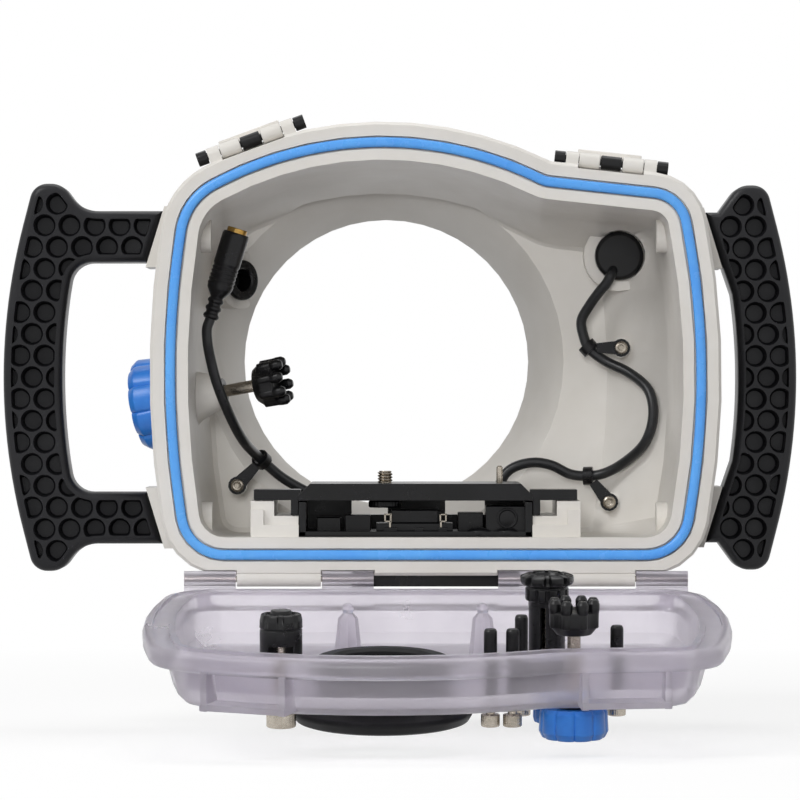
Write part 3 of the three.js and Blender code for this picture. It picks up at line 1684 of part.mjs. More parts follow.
function eyeCup() {
  const base = doorOutY - seatGap;
  const end = base - eyeCupHeight;
  const profile = [
    [eyeBoreRadius, base],
    [eyeRingRadius, base],
    [eyeRingRadius + eyeCupLip / 2, base - eyeCupHeight / 4],
    [eyeCupRadius, base - (eyeCupHeight * 3) / 5],
    [eyeCupRadius - eyeCupLip / 3, end + eyeCupLip / 4],
    [eyeCupRadius - eyeCupLip, end],
    [eyeCupRadius - 2 * eyeCupLip, end + eyeCupLip],
    [eyeBoreRadius, base - eyeCupHeight / 3],
    [eyeBoreRadius, base],
  ];
  return turned(profile, 24).translate(eyeX, 0, eyeReach);
}

function spindle(x, reach, radius, from, to) {
  return doorHole(x, reach, radius, from, to, 12);
}

function dialControl(door) {
  const face = doorOutY - dialKnobStand;
  const wheelStart = matingY + dialTop - wheelBody - prongProud;
  const grip = dialKnobThick / 2;
  const knob = cut(
    flutedKnob(dialKnobRadius, dialKnobThick, 10),
    rodY(shaftRadius + seatGap, -overrun, grip + seatGap, 12),
  );
  const collar = turned([
    [shaftRadius + seatGap, doorOutY - seatGap],
    [dialCollarRadius, doorOutY - seatGap],
    [dialCollarRadius, face + seatGap],
    [shaftRadius + seatGap, face + seatGap],
    [shaftRadius + seatGap, doorOutY - seatGap],
  ], 18);
  piece(door, 'dial_collar', collar.translate(dialX, 0, dialReach), black);
  piece(door, 'dial_knob', geometryOf(knob).rotateX(Math.PI).translate(dialX, face, dialReach), blue);
  piece(door, 'dial_shaft', spindle(dialX, dialReach, shaftRadius, face - grip, wheelStart + grip), steel);
  const wheel = geometryOf(wheelOn(shaftRadius, grip)).translate(dialX, wheelStart, dialReach);
  piece(door, 'dial_wheel', wheel, black);
}

function mushroomDial() {
  const top = matingY + mushroomTop;
  const under = top - mushroomCap;
  const neckEnd = under - mushroomCap;
  const base = doorInY + runGap;
  const profile = [
    [mushroomBore, base],
    [mushroomSleeve, base],
    [mushroomSleeve, neckEnd - mushroomCap / 3],
    [mushroomNeck, neckEnd],
    [mushroomNeck, neckEnd + mushroomCap / 2],
    [mushroomSleeve, neckEnd + mushroomCap / 2],
    [mushroomSleeve, under],
    [mushroomRadius, under + mushroomCap / 3],
    [mushroomRadius, top - mushroomCap / 4],
    [mushroomSleeve, top],
    [0, top],
    [0, neckEnd],
    [mushroomBore, neckEnd],
    [mushroomBore, base],
  ];
  const notches = [];
  const count = 8;
  for (let i = 0; i < count; i += 1) {
    const [low, high] = [under - overrun, top + overrun];
    const notch = box(mushroomNeck, mushroomRadius + overrun, low, high, -overrun, overrun);
    notches.push(notch.rotateY((2 * Math.PI * i) / count));
  }
  const half = mushroomSleeve / 3;
  const windowTop = neckEnd - mushroomCap / 2;
  const window = box(-half, half, base + mushroomCap, windowTop, -mushroomRadius, mushroomRadius);
  const socket = rodY(shaftRadius + seatGap, neckEnd - overrun, neckEnd + mushroomCap / 2, 12);
  return cut(turned(profile, 16), ...notches, window, socket);
}

function mushroomControl(door) {
  const face = doorOutY - mushroomKnobStand;
  const neckEnd = matingY + mushroomTop - 2 * mushroomCap;
  const grip = mushroomKnobThick / 2;
  const knob = cut(
    flutedKnob(mushroomKnobRadius, mushroomKnobThick, 8),
    rodY(shaftRadius + seatGap, -overrun, grip + seatGap, 12),
  );
  const end = neckEnd + mushroomCap / 2 - seatGap;
  const placed = geometryOf(knob).rotateX(Math.PI).translate(mushroomX, face, mushroomReach);
  piece(door, 'menu_knob', placed, blue);
  piece(door, 'menu_shaft', spindle(mushroomX, mushroomReach, shaftRadius, face - grip, end), steel);
  piece(door, 'menu_dial', geometryOf(mushroomDial()).translate(mushroomX, 0, mushroomReach), black);
}

function crownControl(door) {
  const top = matingY + crownTop;
  const base = top - crownLength;
  const face = doorOutY - crownKnobStand;
  const grip = crownLength / 3;
  const cap = rodY(crownRadius, base, top - crownTooth, 20);
  const hub = rodY(crownRadius / 2, base + crownLength / 2, top, 12);
  const teeth = [];
  const count = 8;
  for (let i = 0; i < count; i += 1) {
    const [low, high] = [top - 2 * crownTooth, top - crownTooth / 3];
    const inner = crownRadius * shares.toothRoot;
    const tooth = box(inner, crownRadius, low, high, -crownTooth / 2, crownTooth / 2);
    teeth.push(tooth.rotateY((2 * Math.PI * i) / count));
  }
  const half = crownRadius / 2;
  const slot = box(-half, half, base - overrun, base + crownLength / 4, -2 * crownRadius, 2 * crownRadius);
  const bore = rodY(shaftRadius + seatGap, base - overrun, base + grip + seatGap, 12);
  const wheel = cut(join(cap, hub, ...teeth), slot, bore);
  piece(door, 'crown_wheel', geometryOf(wheel).translate(crownX, 0, crownReach), black);
  const knobEdge = crownKnobThick / 8;
  const profile = [
    [0, face - crownKnobThick],
    [crownKnobRadius - knobEdge, face - crownKnobThick],
    [crownKnobRadius, face - crownKnobThick + knobEdge],
    [crownKnobRadius, face - knobEdge],
    [crownKnobRadius - knobEdge, face],
    [shaftRadius, face],
    [shaftRadius, base + grip],
    [0, base + grip],
  ];
  piece(door, 'crown_knob', turned(profile, 16).translate(crownX, 0, crownReach), steel);
}

function pushButton(door, button) {
  const capIn = doorOutY - guideHeight - buttonStand + guideHeight;
  const capOut = capIn - buttonCapThick;
  const rodStart = doorInY + seatGap;
  const rodEnd = matingY + button.top;
  const socket = (rodEnd - rodStart) / 3;
  const edge = buttonCapThick / 6;
  const cap = [
    [0, capOut],
    [buttonCapRadius - edge, capOut],
    [buttonCapRadius, capOut + edge],
    [buttonCapRadius, capIn],
    [buttonStemRadius, capIn],
    [buttonStemRadius, rodStart + socket],
    [0, rodStart + socket],
  ];
  const rod = cut(
    turned([
      [0, rodStart],
      [buttonRodRadius, rodStart],
      [buttonRodRadius, rodEnd - edge],
      [buttonRodRadius - edge, rodEnd],
      [0, rodEnd],
    ], 10),
    rodY(buttonStemRadius + seatGap, rodStart - overrun, rodStart + socket + seatGap, 8),
  );
  piece(door, `button_cap_${button.name}`, turned(cap, 10).translate(button.x, 0, button.reach), steel);
  piece(door, `button_rod_${button.name}`, geometryOf(rod).translate(button.x, 0, button.reach), black);
}

function doorParts(root) {
  const door = new THREE.Group();
  door.position.set(0, hingeY, hingeZ);
  door.rotation.x = radians(openAngle);
  root.add(door);
  piece(door, 'door_shell', doorShell(), clear);
  piece(door, 'eyepiece_ring', eyeRing(), black);
  piece(door, 'eyepiece_window', eyeWindow(), clear);
  piece(door, 'eyecup', eyeCup(), rubber);
  dialControl(door);
  mushroomControl(door);
  crownControl(door);
  buttons.forEach((button) => pushButton(door, button));
}

const group = new THREE.Group();
piece(group, 'body_shell', bodyShell(), white);
piece(group, 'door_seal', seal(), sealBlue);
piece(group, 'base_plate', basePlate(), black);
[-1, 1].forEach((hand) => {
  const shape = screw(screwRadius, screwHeadRadius, screwHeadHeight, plateScrewLength);
  shape.rotateX(-Math.PI / 2).translate(0, (hand * plateScrewPitch) / 2, screwHeadHeight);
  piece(group, hand < 0 ? 'plate_screw_rear' : 'plate_screw_front', shape, steel);
});
grips.forEach((grip) => {
  piece(group, `grip_${grip.name}`, gripBody(grip), black);
  piece(group, `grip_screw_${grip.name}_lower`, gripScrew(grip, -1), steel);
  piece(group, `grip_screw_${grip.name}_upper`, gripScrew(grip, 1), steel);
});
zoomControl(group);
piece(group, 'zoom_washer', zoomWasher(), black);
piece(group, 'bush', bush(), black);
piece(group, 'gland_cap', glandCap(), black);
piece(group, 'cable_left', cable(leftRoute, 20), rubber);
piece(group, 'connector', connector(), black);
piece(group, 'connector_tip', connectorTip(), gold);
piece(group, 'cable_right', cable(rightRoute, 38), rubber);
clips.forEach((clip) => {
  piece(group, `clip_${clip.name}`, clipStrap(clip), black);
  piece(group, `clip_screw_${clip.name}`, clipScrew(clip), steel);
});
piece(group, 'tray_frame', trayFrame(), black);
piece(group, 'contact_frame', contactFrame(), steel);
piece(group, 'tray_plate', trayPlate(), black);
piece(group, 'locating_pin', locatingPin(), steel);
piece(group, 'camera_screw', cameraScrew(), steel);
latches.forEach((latch) => latchParts(group, latch));
const hingePin = rodX(hingePinRadius, -knuckleEnd, knuckleEnd, 10).translate(0, hingeY, hingeZ);
piece(group, 'hinge_pin', hingePin, steel);
doorParts(group);

export default group;
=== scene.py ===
# An underwater camera housing with its clear rear door open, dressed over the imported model.
# The scene is in metres: +Z is up, +Y points out of the lens port, and the open rear faces -Y.
# The dictionaries of the pieces are in millimetres.
import json
import math

import bmesh
import bpy
import numpy as np
from mathutils import Matrix, Vector
from mathutils.geometry import delaunay_2d_cdt

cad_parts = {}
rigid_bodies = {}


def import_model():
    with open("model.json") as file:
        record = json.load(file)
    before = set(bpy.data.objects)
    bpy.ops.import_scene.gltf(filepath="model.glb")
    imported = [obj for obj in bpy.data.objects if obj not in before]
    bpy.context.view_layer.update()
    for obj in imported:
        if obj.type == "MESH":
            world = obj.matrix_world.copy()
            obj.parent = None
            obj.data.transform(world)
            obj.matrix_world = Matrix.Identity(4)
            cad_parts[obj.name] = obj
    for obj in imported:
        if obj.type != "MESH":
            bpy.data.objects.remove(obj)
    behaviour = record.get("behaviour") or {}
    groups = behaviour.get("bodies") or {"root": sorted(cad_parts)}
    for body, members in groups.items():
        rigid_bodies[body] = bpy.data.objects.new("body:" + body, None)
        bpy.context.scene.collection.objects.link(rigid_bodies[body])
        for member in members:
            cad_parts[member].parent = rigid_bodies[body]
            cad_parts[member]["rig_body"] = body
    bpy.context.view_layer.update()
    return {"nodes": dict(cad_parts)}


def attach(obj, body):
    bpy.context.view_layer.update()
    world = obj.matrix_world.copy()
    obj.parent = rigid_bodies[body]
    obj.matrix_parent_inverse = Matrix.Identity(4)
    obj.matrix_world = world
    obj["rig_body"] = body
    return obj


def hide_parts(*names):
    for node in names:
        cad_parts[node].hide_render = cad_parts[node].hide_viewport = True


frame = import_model()
nodes = frame["nodes"]
scene = bpy.context.scene
scene.view_settings.view_transform = "Standard"
print("frame loaded:", len(nodes), "nodes")

mm = 0.001
weld = 0.002 * mm  # points nearer than this are one
tiny = 1e-9  # keeps a division away from zero


def newObject(name, data):
    made = bpy.data.objects.new(name, data)
    scene.collection.objects.link(made)
    return made


# Camera straight behind the open rear, at the photograph's distance
view = {"place": (-0.015, -2.250, 0.078), "lens": 237.6, "sensor": 36}
camera = newObject("camera", bpy.data.cameras.new("camera"))
camera.data.lens = view["lens"]
camera.data.sensor_width = view["sensor"]
camera.location = view["place"]
camera.rotation_euler = (math.radians(90), 0, 0)
scene.camera = camera


# Sockets take plain values, or other sockets by a link
def feed(tree, sockets, values):
    for key, value in values.items():
        if isinstance(value, bpy.types.NodeSocket):
            tree.links.new(value, sockets[key])
        else:
            sockets[key].default_value = value


# A node with its settings and its inputs, named or as i and their number
def node(tree, kind, settings=None, **inputs):
    made = tree.nodes.new("ShaderNode" + kind)
    for key, value in (settings or {}).items():
        setattr(made, key, value)
    feed(tree, made.inputs, {int(key[1:]) if key[1:].isdigit() else key: inputs[key] for key in inputs})
    return made


def maths(tree, operation, first, second=0):
    return node(tree, "Math", {"operation": operation}, i0=first, i1=second).outputs[0]


# Two values summed, the first by its share and the second by the rest
def blend(tree, share, first, second):
    parts = [maths(tree, "MULTIPLY", value, part) for value, part in ((first, share), (second, 1 - share))]
    return maths(tree, "ADD", *parts)


def remap(tree, value, low, high, newLow, newHigh):
    made = node(tree, "MapRange", {"clamp": True}, Value=value)
    feed(tree, made.inputs, {"From Min": low, "From Max": high, "To Min": newLow, "To Max": newHigh})
    return made.outputs["Result"]


def noise(tree, where, scale, detail, rough=0.5):
    return node(tree, "TexNoise", Vector=where, Scale=scale, Detail=detail, Roughness=rough).outputs["Fac"]


def mixColour(tree, share, first, second):
    return node(tree, "Mix", {"data_type": "RGBA"}, i0=share, i6=first, i7=second).outputs[2]


def newGroup(name, inputs, outputs):
    tree = bpy.data.node_groups.new(name, "ShaderNodeTree")
    for label, kind, value in inputs:
        socket = tree.interface.new_socket(name=label, in_out="INPUT", socket_type="NodeSocket" + kind)
        socket.default_value = value
    for label, kind in outputs:
        tree.interface.new_socket(name=label, in_out="OUTPUT", socket_type="NodeSocket" + kind)
    return tree, tree.nodes.new("NodeGroupInput").outputs, tree.nodes.new("NodeGroupOutput").inputs


def place(tree, group, **inputs):
    made = node(tree, "Group", {"node_tree": group})
    feed(tree, made.inputs, inputs)
    return made.outputs


# Two tones clouded together: broad and fine noise summed, then spread between the tones
def makeClouding(broadShare=0.75, finer=9, spread=(0.35, 0.65)):
    tree, given, out = newGroup(
        "clouding",
        [("First", "Color", (1, 1, 1, 1)), ("Second", "Color", (1, 1, 1, 1)), ("Scale", "Float", 20)],
        [("Colour", "Color")],
    )
    where = node(tree, "TexCoord").outputs["Object"]
    broad = noise(tree, where, given["Scale"], 3)
    fine = noise(tree, where, maths(tree, "MULTIPLY", given["Scale"], finer), 2)
    mask = remap(tree, blend(tree, broadShare, broad, fine), *spread, 0, 1)
    tree.links.new(mixColour(tree, mask, given["First"], given["Second"]), out["Colour"])
    return tree


# Fine moulded grain: noise and cells summed as a height, and a roughness that follows broad rubbing
def makeGrain(noiseShare=0.7, spread=(0.3, 0.7)):
    tree, given, out = newGroup(
        "grain",
        [("Scale", "Float", 900), ("Smooth", "Float", 0.3), ("Rough", "Float", 0.5), ("Wear", "Float", 30)],
        [("Height", "Float"), ("Roughness", "Float")],
    )
    where = node(tree, "TexCoord").outputs["Object"]
    fine = noise(tree, where, given["Scale"], 4, 0.6)
    cells = node(tree, "TexVoronoi", Vector=where, Scale=given["Scale"]).outputs["Distance"]
    rubbed = noise(tree, where, given["Wear"], 5, 0.65)
    tree.links.new(blend(tree, noiseShare, fine, cells), out["Height"])
    tree.links.new(remap(tree, rubbed, *spread, given["Smooth"], given["Rough"]), out["Roughness"])
    return tree


# Marks left by turning: noise of the distance from the Z axis and of the height
def makeTurning(spread=(0.35, 0.65)):
    tree, given, out = newGroup(
        "turning", [("Scale", "Float", 3000)], [("Height", "Float"), ("Mask", "Float")])
    where = node(tree, "TexCoord").outputs["Object"]
    parts = node(tree, "SeparateXYZ", Vector=where).outputs
    squares = [maths(tree, "POWER", part, 2) for part in parts[:2]]
    reach = maths(tree, "SQRT", maths(tree, "ADD", *squares))
    along = node(tree, "CombineXYZ", X=reach, Y=parts[2]).outputs[0]
    rings = noise(tree, along, given["Scale"], 2)
    tree.links.new(rings, out["Height"])
    tree.links.new(remap(tree, rings, *spread, 0, 1), out["Mask"])
    return tree


clouding = makeClouding()
grain = makeGrain()
turning = makeTurning()


def linear(red, green, blue):
    channels = [c / 255 for c in (red, green, blue)]
    return tuple(c / 12.92 if c <= 0.04045 else ((c + 0.055) / 1.055) ** 2.4 for c in channels) + (1,)


def newMaterial(name):
    material = bpy.data.materials.new(name)
    material.use_nodes = True
    tree = material.node_tree
    return material, tree, tree.nodes["Principled BSDF"]


def bumped(tree, height, look):
    return node(tree, "Bump", Height=height, Strength=look["bump"], Distance=look["depth"]).outputs[0]


# What plastic and rubber share: two clouded tones, a grain to the touch, rubbed roughness, and a finish
def skinned(name, look, **finish):
    material, tree, shader = newMaterial(name)
    first, second = linear(*look["light"]), linear(*look["dark"])
    tones = place(tree, clouding, First=first, Second=second, Scale=look["cloud"])
    skin = place(
        tree, grain, Scale=look["grain"], Smooth=look["smooth"], Rough=look["rough"], Wear=look["wear"])
    bump = bumped(tree, skin["Height"], look)
    feed(tree, shader.inputs, {
        "Base Color": tones["Colour"], "Roughness": skin["Roughness"], "Normal": bump, **finish})
    return material


# Plastic or rubber, with a shine and with light going a little way under its surface
def moulded(name, look, reach=2 * mm):
    return skinned(name, look, **{
        "Specular IOR Level": look.get("shine", 0.5), "Subsurface Weight": look.get("under", 0),
        "Subsurface Radius": (reach, reach, reach), "Subsurface Scale": 1})


# Clear plastic, faintly violet, with a moulded unevenness
def clearPlastic(name, look):
    return skinned(name, look, **{"IOR": look["ior"], "Transmission Weight": look["clear"]})


# Turned metal: two tones, the darker one also in the turning marks, which make it rougher too
def metal(name, look, markShare=0.3):
    material, tree, shader = newMaterial(name)
    first, second = linear(*look["light"]), linear(*look["dark"])
    marks = place(tree, turning, Scale=look["marks"])
    tones = place(tree, clouding, First=first, Second=second, Scale=look["cloud"])
    shade = mixColour(tree, maths(tree, "MULTIPLY", marks["Mask"], markShare), tones["Colour"], second)
    rough = remap(tree, marks["Mask"], 0, 1, look["smooth"], look["rough"])
    bump = bumped(tree, marks["Height"], look)
    feed(tree, shader.inputs, {"Base Color": shade, "Roughness": rough, "Normal": bump, "Metallic": 1})
    return material


# Light and dark are the two tones, smooth and rough the ends of the roughness. Cloud, grain, wear and marks
# are scales, larger for finer, and depth is the bump's in metres
materials = {
    "shell": moulded("shell_plastic", {
        "light": (229, 226, 221), "dark": (218, 214, 207), "cloud": 9, "grain": 2600,
        "smooth": 0.36, "rough": 0.52, "wear": 24, "bump": 0.16, "depth": 0.00012, "under": 0.12}),
    "seal": moulded("seal_silicone", {
        "light": (98, 176, 250), "dark": (84, 162, 244), "cloud": 30, "grain": 1800,
        "smooth": 0.2, "rough": 0.34, "wear": 50, "bump": 0.12, "depth": 0.0001, "under": 0.1}),
    "blue": moulded("blue_plastic", {
        "light": (56, 134, 220), "dark": (40, 112, 204), "cloud": 40, "grain": 2200,
        "smooth": 0.26, "rough": 0.42, "wear": 70, "bump": 0.12, "depth": 0.0001}),
    "black": moulded("black_plastic", {
        "light": (19, 19, 21), "dark": (11, 11, 12), "cloud": 40, "grain": 2400,
        "smooth": 0.24, "rough": 0.38, "wear": 60, "bump": 0.16, "depth": 0.0001, "shine": 0.3}),
    "grip": moulded("grip_rubber", {
        "light": (27, 27, 30), "dark": (17, 17, 20), "cloud": 22, "grain": 1500,
        "smooth": 0.32, "rough": 0.46, "wear": 40, "bump": 0.2, "depth": 0.00014, "shine": 0.3}),
    "rubber": moulded("eyecup_rubber", {
        "light": (24, 24, 26), "dark": (14, 14, 16), "cloud": 30, "grain": 1400,
        "smooth": 0.44, "rough": 0.6, "wear": 45, "bump": 0.24, "depth": 0.00014, "shine": 0.25}),
    "cable": moulded("cable_sheath", {
        "light": (36, 37, 39), "dark": (24, 25, 27), "cloud": 60, "grain": 1600,
        "smooth": 0.26, "rough": 0.4, "wear": 80, "bump": 0.16, "depth": 0.0001, "shine": 0.4}),
    "steel": metal("turned_steel", {
        "light": (196, 188, 176), "dark": (150, 142, 130), "cloud": 80, "marks": 2600,
        "smooth": 0.2, "rough": 0.36, "bump": 0.2, "depth": 0.00006}),
    "gold": metal("gold_plate", {
        "light": (212, 176, 104), "dark": (150, 112, 52), "cloud": 90, "marks": 2600,
        "smooth": 0.12, "rough": 0.26, "bump": 0.15, "depth": 0.00005}),
    "clear": clearPlastic("clear_plastic", {
        "light": (232, 228, 235), "dark": (216, 211, 220), "cloud": 12, "grain": 300, "smooth": 0.26,
        "rough": 0.4, "wear": 18, "bump": 0.04, "depth": 0.0002, "ior": 1.35, "clear": 0.82}),
    "window": clearPlastic("window_plastic", {
        "light": (246, 246, 250), "dark": (242, 242, 248), "cloud": 12, "grain": 500, "smooth": 0.01,
        "rough": 0.05, "wear": 18, "bump": 0.03, "depth": 0.0001, "ior": 1.49, "clear": 1}),
}
print("materials made:", len(materials))


# A worked mesh as a piece that takes a CAD node's place and rides on its body. Its faces are smooth
# up to the sharp angle, and its edge is the width in millimetres by which sharper ones are broken
def settle(work, mesh, name, look, sharp, edge, even):
    for face in work.faces:
        face.smooth = True
    for joint in work.edges:
        joint.smooth = not (joint.is_manifold and joint.calc_face_angle() > math.radians(sharp))
    work.to_mesh(mesh)
    work.free()
    piece = newObject(mesh.name, mesh)
    if edge:
        broken = piece.modifiers.new("edge", "BEVEL")
        broken.width = edge * mm
        broken.segments = 2
        broken.limit_method = "ANGLE"
        broken.angle_limit = math.radians(sharp)
    if even:
        piece.modifiers.new("even", "WEIGHTED_NORMAL").keep_sharp = True
    mesh.materials.append(materials[look])
    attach(piece, nodes[name]["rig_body"])
    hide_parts(name)


# A CAD node's mesh merged, its flat faces joined and its corners broken, both only where it has an edge
def refined(name, look, edge, sharp=34, flat=0.4):
    work = bmesh.new()
    work.from_mesh(nodes[name].data)
    bmesh.ops.remove_doubles(work, verts=work.verts, dist=weld)
    if edge:
        bmesh.ops.dissolve_limit(work, angle_limit=math.radians(flat), verts=work.verts, edges=work.edges)
    settle(work, bpy.data.meshes.new(name + "_skin"), name, look, sharp, edge, True)


# A new piece from parts in millimetres, merged where they close, with its faces outwards
def fresh(name, parts, look, sharp=50, edge=0, ending="_skin"):
    spots, faces, start = [], [], 0
    for points, sides in parts:
        spots.append(points.reshape(-1, 3))
        faces += [[corner + start for corner in side] for side in sides]
        start += len(spots[-1])
    mesh = bpy.data.meshes.new(name + ending)
    mesh.from_pydata((np.vstack(spots) * mm).tolist(), [], faces)
    work = bmesh.new()
    work.from_mesh(mesh)
    bmesh.ops.remove_doubles(work, verts=work.verts, dist=weld)
    bmesh.ops.dissolve_degenerate(work, dist=weld / 20, edges=work.edges)
    bmesh.ops.recalc_face_normals(work, faces=work.faces)
    settle(work, mesh, name, look, sharp, edge, edge > 0)


# Rows of points joined by four-sided faces, closed across and, if asked, from the last row to the first
def gridFaces(rows, columns, ring=False):
    row, column = np.meshgrid(np.arange(rows if ring else rows - 1), np.arange(columns), indexing="ij")
    nextRow, nextColumn = (row + 1) % rows, (column + 1) % columns
    corners = [(row, column), (row, nextColumn), (nextRow, nextColumn), (nextRow, column)]
    return np.stack([r * columns + c for r, c in corners], axis=-1).reshape(-1, 4).tolist()


# An arc about a centre from one point to another, the short way round
def arcBetween(centre, start, end, steps):
    first, last = start - centre, end - centre
    sweep = math.atan2(first[0] * last[1] - first[1] * last[0], first @ last)
    turns = np.linspace(0, sweep, steps + 1)
    cosines, sines = np.cos(turns), np.sin(turns)
    x, y = first[0] * cosines - first[1] * sines, first[0] * sines + first[1] * cosines
    return centre + np.stack([x, y], axis=1)


# Corners as (x, y, radius), each rounded by an arc that takes at most a share of its two edges
def roundedPath(corners, steps=8, closed=True, freeShare=0.6, sharedShare=0.48):
    corners = np.array(corners, float)
    count = len(corners)
    points = []
    for i, (x, y, radius) in enumerate(corners):
        here = np.array((x, y))
        if not radius or (not closed and i in (0, count - 1)):
            points.append(here[None])
            continue
        before, after = corners[i - 1], corners[(i + 1) % count]
        back, on = before[:2] - here, after[:2] - here
        rooms = [np.linalg.norm(edge) * (sharedShare if corner[2] else freeShare)
                 for edge, corner in ((back, before), (on, after))]
        back, on = back / np.linalg.norm(back), on / np.linalg.norm(on)
        half = math.acos(np.clip(back @ on, -1, 1)) / 2
        run = min(radius / math.tan(half), *rooms)
        middle = (back + on) / np.linalg.norm(back + on) * run / math.cos(half) + here
        points.append(arcBetween(middle, here + back * run, here + on * run, steps))
    return np.vstack(points)


# An outline moved inwards, each point along the mean of its two edges' normals
def insetPath(points, amount, sharpest=0.3):
    back = points - np.roll(points, 1, axis=0)
    on = np.roll(points, -1, axis=0) - points
    back /= np.maximum(np.linalg.norm(back, axis=1, keepdims=True), tiny)
    on /= np.maximum(np.linalg.norm(on, axis=1, keepdims=True), tiny)
    following = np.roll(points, -1, axis=0)
    area = np.sum(points[:, 0] * following[:, 1] - following[:, 0] * points[:, 1])
    normals = math.copysign(0.5, area) * np.stack([-(back + on)[:, 1], (back + on)[:, 0]], axis=1)
    return points + amount * normals / np.maximum(np.sum(normals * normals, axis=1, keepdims=True), sharpest)


def moveBy(points, matrix):
    table = np.array(matrix)
    return points @ table[:3, :3].T + table[:3, 3]


# Angles spread evenly round a circle
def evenTurns(count):
    return np.linspace(0, 2 * math.pi, count, endpoint=False)


# A profile of (radius, height) pairs turned about local Y; lobes scale the radius by row and angle
def turnedPart(profile, matrix, count=64, lobes=None, ring=False):
    profile = np.array(profile, float)
    angles = evenTurns(count)
    reach = np.repeat(profile[:, :1], count, axis=1)
    if lobes is not None:
        reach = reach * lobes(profile, angles)
    heights = np.repeat(profile[:, 1:2], count, axis=1)
    rows = np.stack([reach * np.cos(angles), heights, reach * np.sin(angles)], axis=-1)
    return moveBy(rows, matrix), gridFaces(len(profile), count, ring)


# A table of (radius, height, rounding) moved up by a height
def raised(table, height):
    return [(radius, y + height, rounding) for radius, y, rounding in table]


# A table of (radius, height, rounding) rounded and turned: open from axis to axis, or a closed ring
def turned(table, matrix, count, steps=4, lobes=None):
    return turnedPart(roundedPath(table, steps, closed=False), matrix, count, lobes)


def turnedRing(table, matrix, count, steps=3):
    return turnedPart(roundedPath(table, steps), matrix, count, ring=True)


# A round bar swept along a path, its frame carried on from step to step, with flat ends
def sweptPart(path, radius, count=20):
    along = np.gradient(path, axis=0)
    along /= np.linalg.norm(along, axis=1, keepdims=True)
    side = np.cross(along[0], (0, 0, 1) if abs(along[0][2]) < 0.9 else (1, 0, 0))
    sides = []
    for heading in along:
        side = side - heading * (side @ heading)
        side /= np.linalg.norm(side)
        sides.append(side)
    sides = np.array(sides)
    ups = np.cross(along, sides)
    angles = evenTurns(count)[None, :, None]
    around = np.cos(angles) * sides[:, None, :] + np.sin(angles) * ups[:, None, :]
    rows = path[:, None, :] + radius * around
    ends = [np.repeat(spot[None, None], count, 1) for spot in (path[0], path[-1])]
    rows = np.concatenate([ends[0], rows, ends[1]])
    return rows, gridFaces(len(rows), count)


# A centripetal Catmull-Rom curve through a route: each span blends its four points in three rounds
def throughRoute(route, perSpan=10):
    spots = np.array(route, float)
    spots = np.vstack([2 * spots[0] - spots[1], spots, 2 * spots[-1] - spots[-2]])
    out = []
    for i in range(1, len(spots) - 2):
        level = list(spots[i - 1:i + 3])
        steps = np.sqrt(np.linalg.norm(np.diff(level, axis=0), axis=1))
        knots = np.concatenate([[0], np.cumsum(steps)])
        t = np.linspace(knots[1], knots[2], perSpan, endpoint=False)[:, None]
        for pairs in (((0, 1), (1, 2), (2, 3)), ((0, 2), (1, 3)), ((1, 2),)):
            level = [((knots[b] - t) * level[k] + (t - knots[a]) * level[k + 1]) / (knots[b] - knots[a])
                     for k, (a, b) in enumerate(pairs)]
        out.append(level[0])
    return np.vstack(out + [spots[-2:-1]])


def boxPart(low, high):
    x, y, z = np.meshgrid(*zip(low, high), indexing="ij")
    faces = [(0, 1, 3, 2), (4, 6, 7, 5), (0, 4, 5, 1), (2, 3, 7, 6), (0, 2, 6, 4), (1, 5, 7, 3)]
    return np.stack([x, y, z], axis=-1).reshape(-1, 3), faces


# A share that rises from 0 to 1 as a value passes from one bound to the other
def rising(values, low, high):
    return np.clip((values - low) / (high - low), 0, 1)


# Soft waves round an axis, 1 on the crests and 0 between
def waves(angles, count):
    return (0.5 + 0.5 * np.cos(count * angles))[None, :]


# Notches round an axis, squared off by tanh and full where radius and height are past their fades
def notches(profile, angles, cut, height):
    fades = rising(profile[:, :1], *cut["radii"]) * rising(profile[:, 1:2] - height, *cut["heights"])
    crests = 0.5 + 0.5 * np.tanh(cut["hard"] * (np.cos(cut["count"] * angles) - cut["level"]))
    return cut["deep"] * fades * crests


# Fine knurling: a wave of the radius wherever it is near its largest
def knurl(rim, depth, count):
    def lobes(profile, angles):
        return 1 - depth * rising(profile[:, :1], rim - 0.5, rim - 0.15) * waves(angles, count)

    return lobes


# Door seal. Its line has straight sides, given by a point and a direction, and bows, given by a radius
rimY = -50.0
seal = {"bottom": 13.4, "left": 110.8, "leftBow": 386.8, "leftRise": 76.1, "right": 110.6, "rightBow": 333,
        "rightRise": 74.1, "domeX": -22.3, "domeRise": 172.1, "domeRadius": 148.5, "shoulderX": 45.2,
        "shoulderRise": 155.8, "fall": 0.107, "lowerCorner": 18, "rightCorner": 15, "shoulderCorner": -12,
        "leftCorner": 26, "leastCorner": 3, "half": 2.1, "proud": 1.2, "deep": 2.9, "foot": 1.6,
        "crown": 1.9, "fullness": 0.8}


# The five sides of the seal's line, moved inwards
def sealSides(inset):
    def line(x, z, inward):
        inward = np.array(inward) / np.linalg.norm(inward)
        return {"point": np.array((x, z)) + inward * inset, "inward": inward}

    def bow(x, z, radius):
        return {"centre": np.array((x, z)), "radius": radius - inset}

    return [
        line(0, seal["bottom"], (0, 1)),
        bow(seal["right"] - seal["rightBow"], seal["bottom"] + seal["rightRise"], seal["rightBow"]),
        line(seal["shoulderX"], seal["bottom"] + seal["shoulderRise"], (-seal["fall"], -1)),
        bow(seal["domeX"], seal["bottom"] + seal["domeRise"] - seal["domeRadius"], seal["domeRadius"]),
        bow(seal["leftBow"] - seal["left"], seal["bottom"] + seal["leftRise"], seal["leftBow"]),
    ]


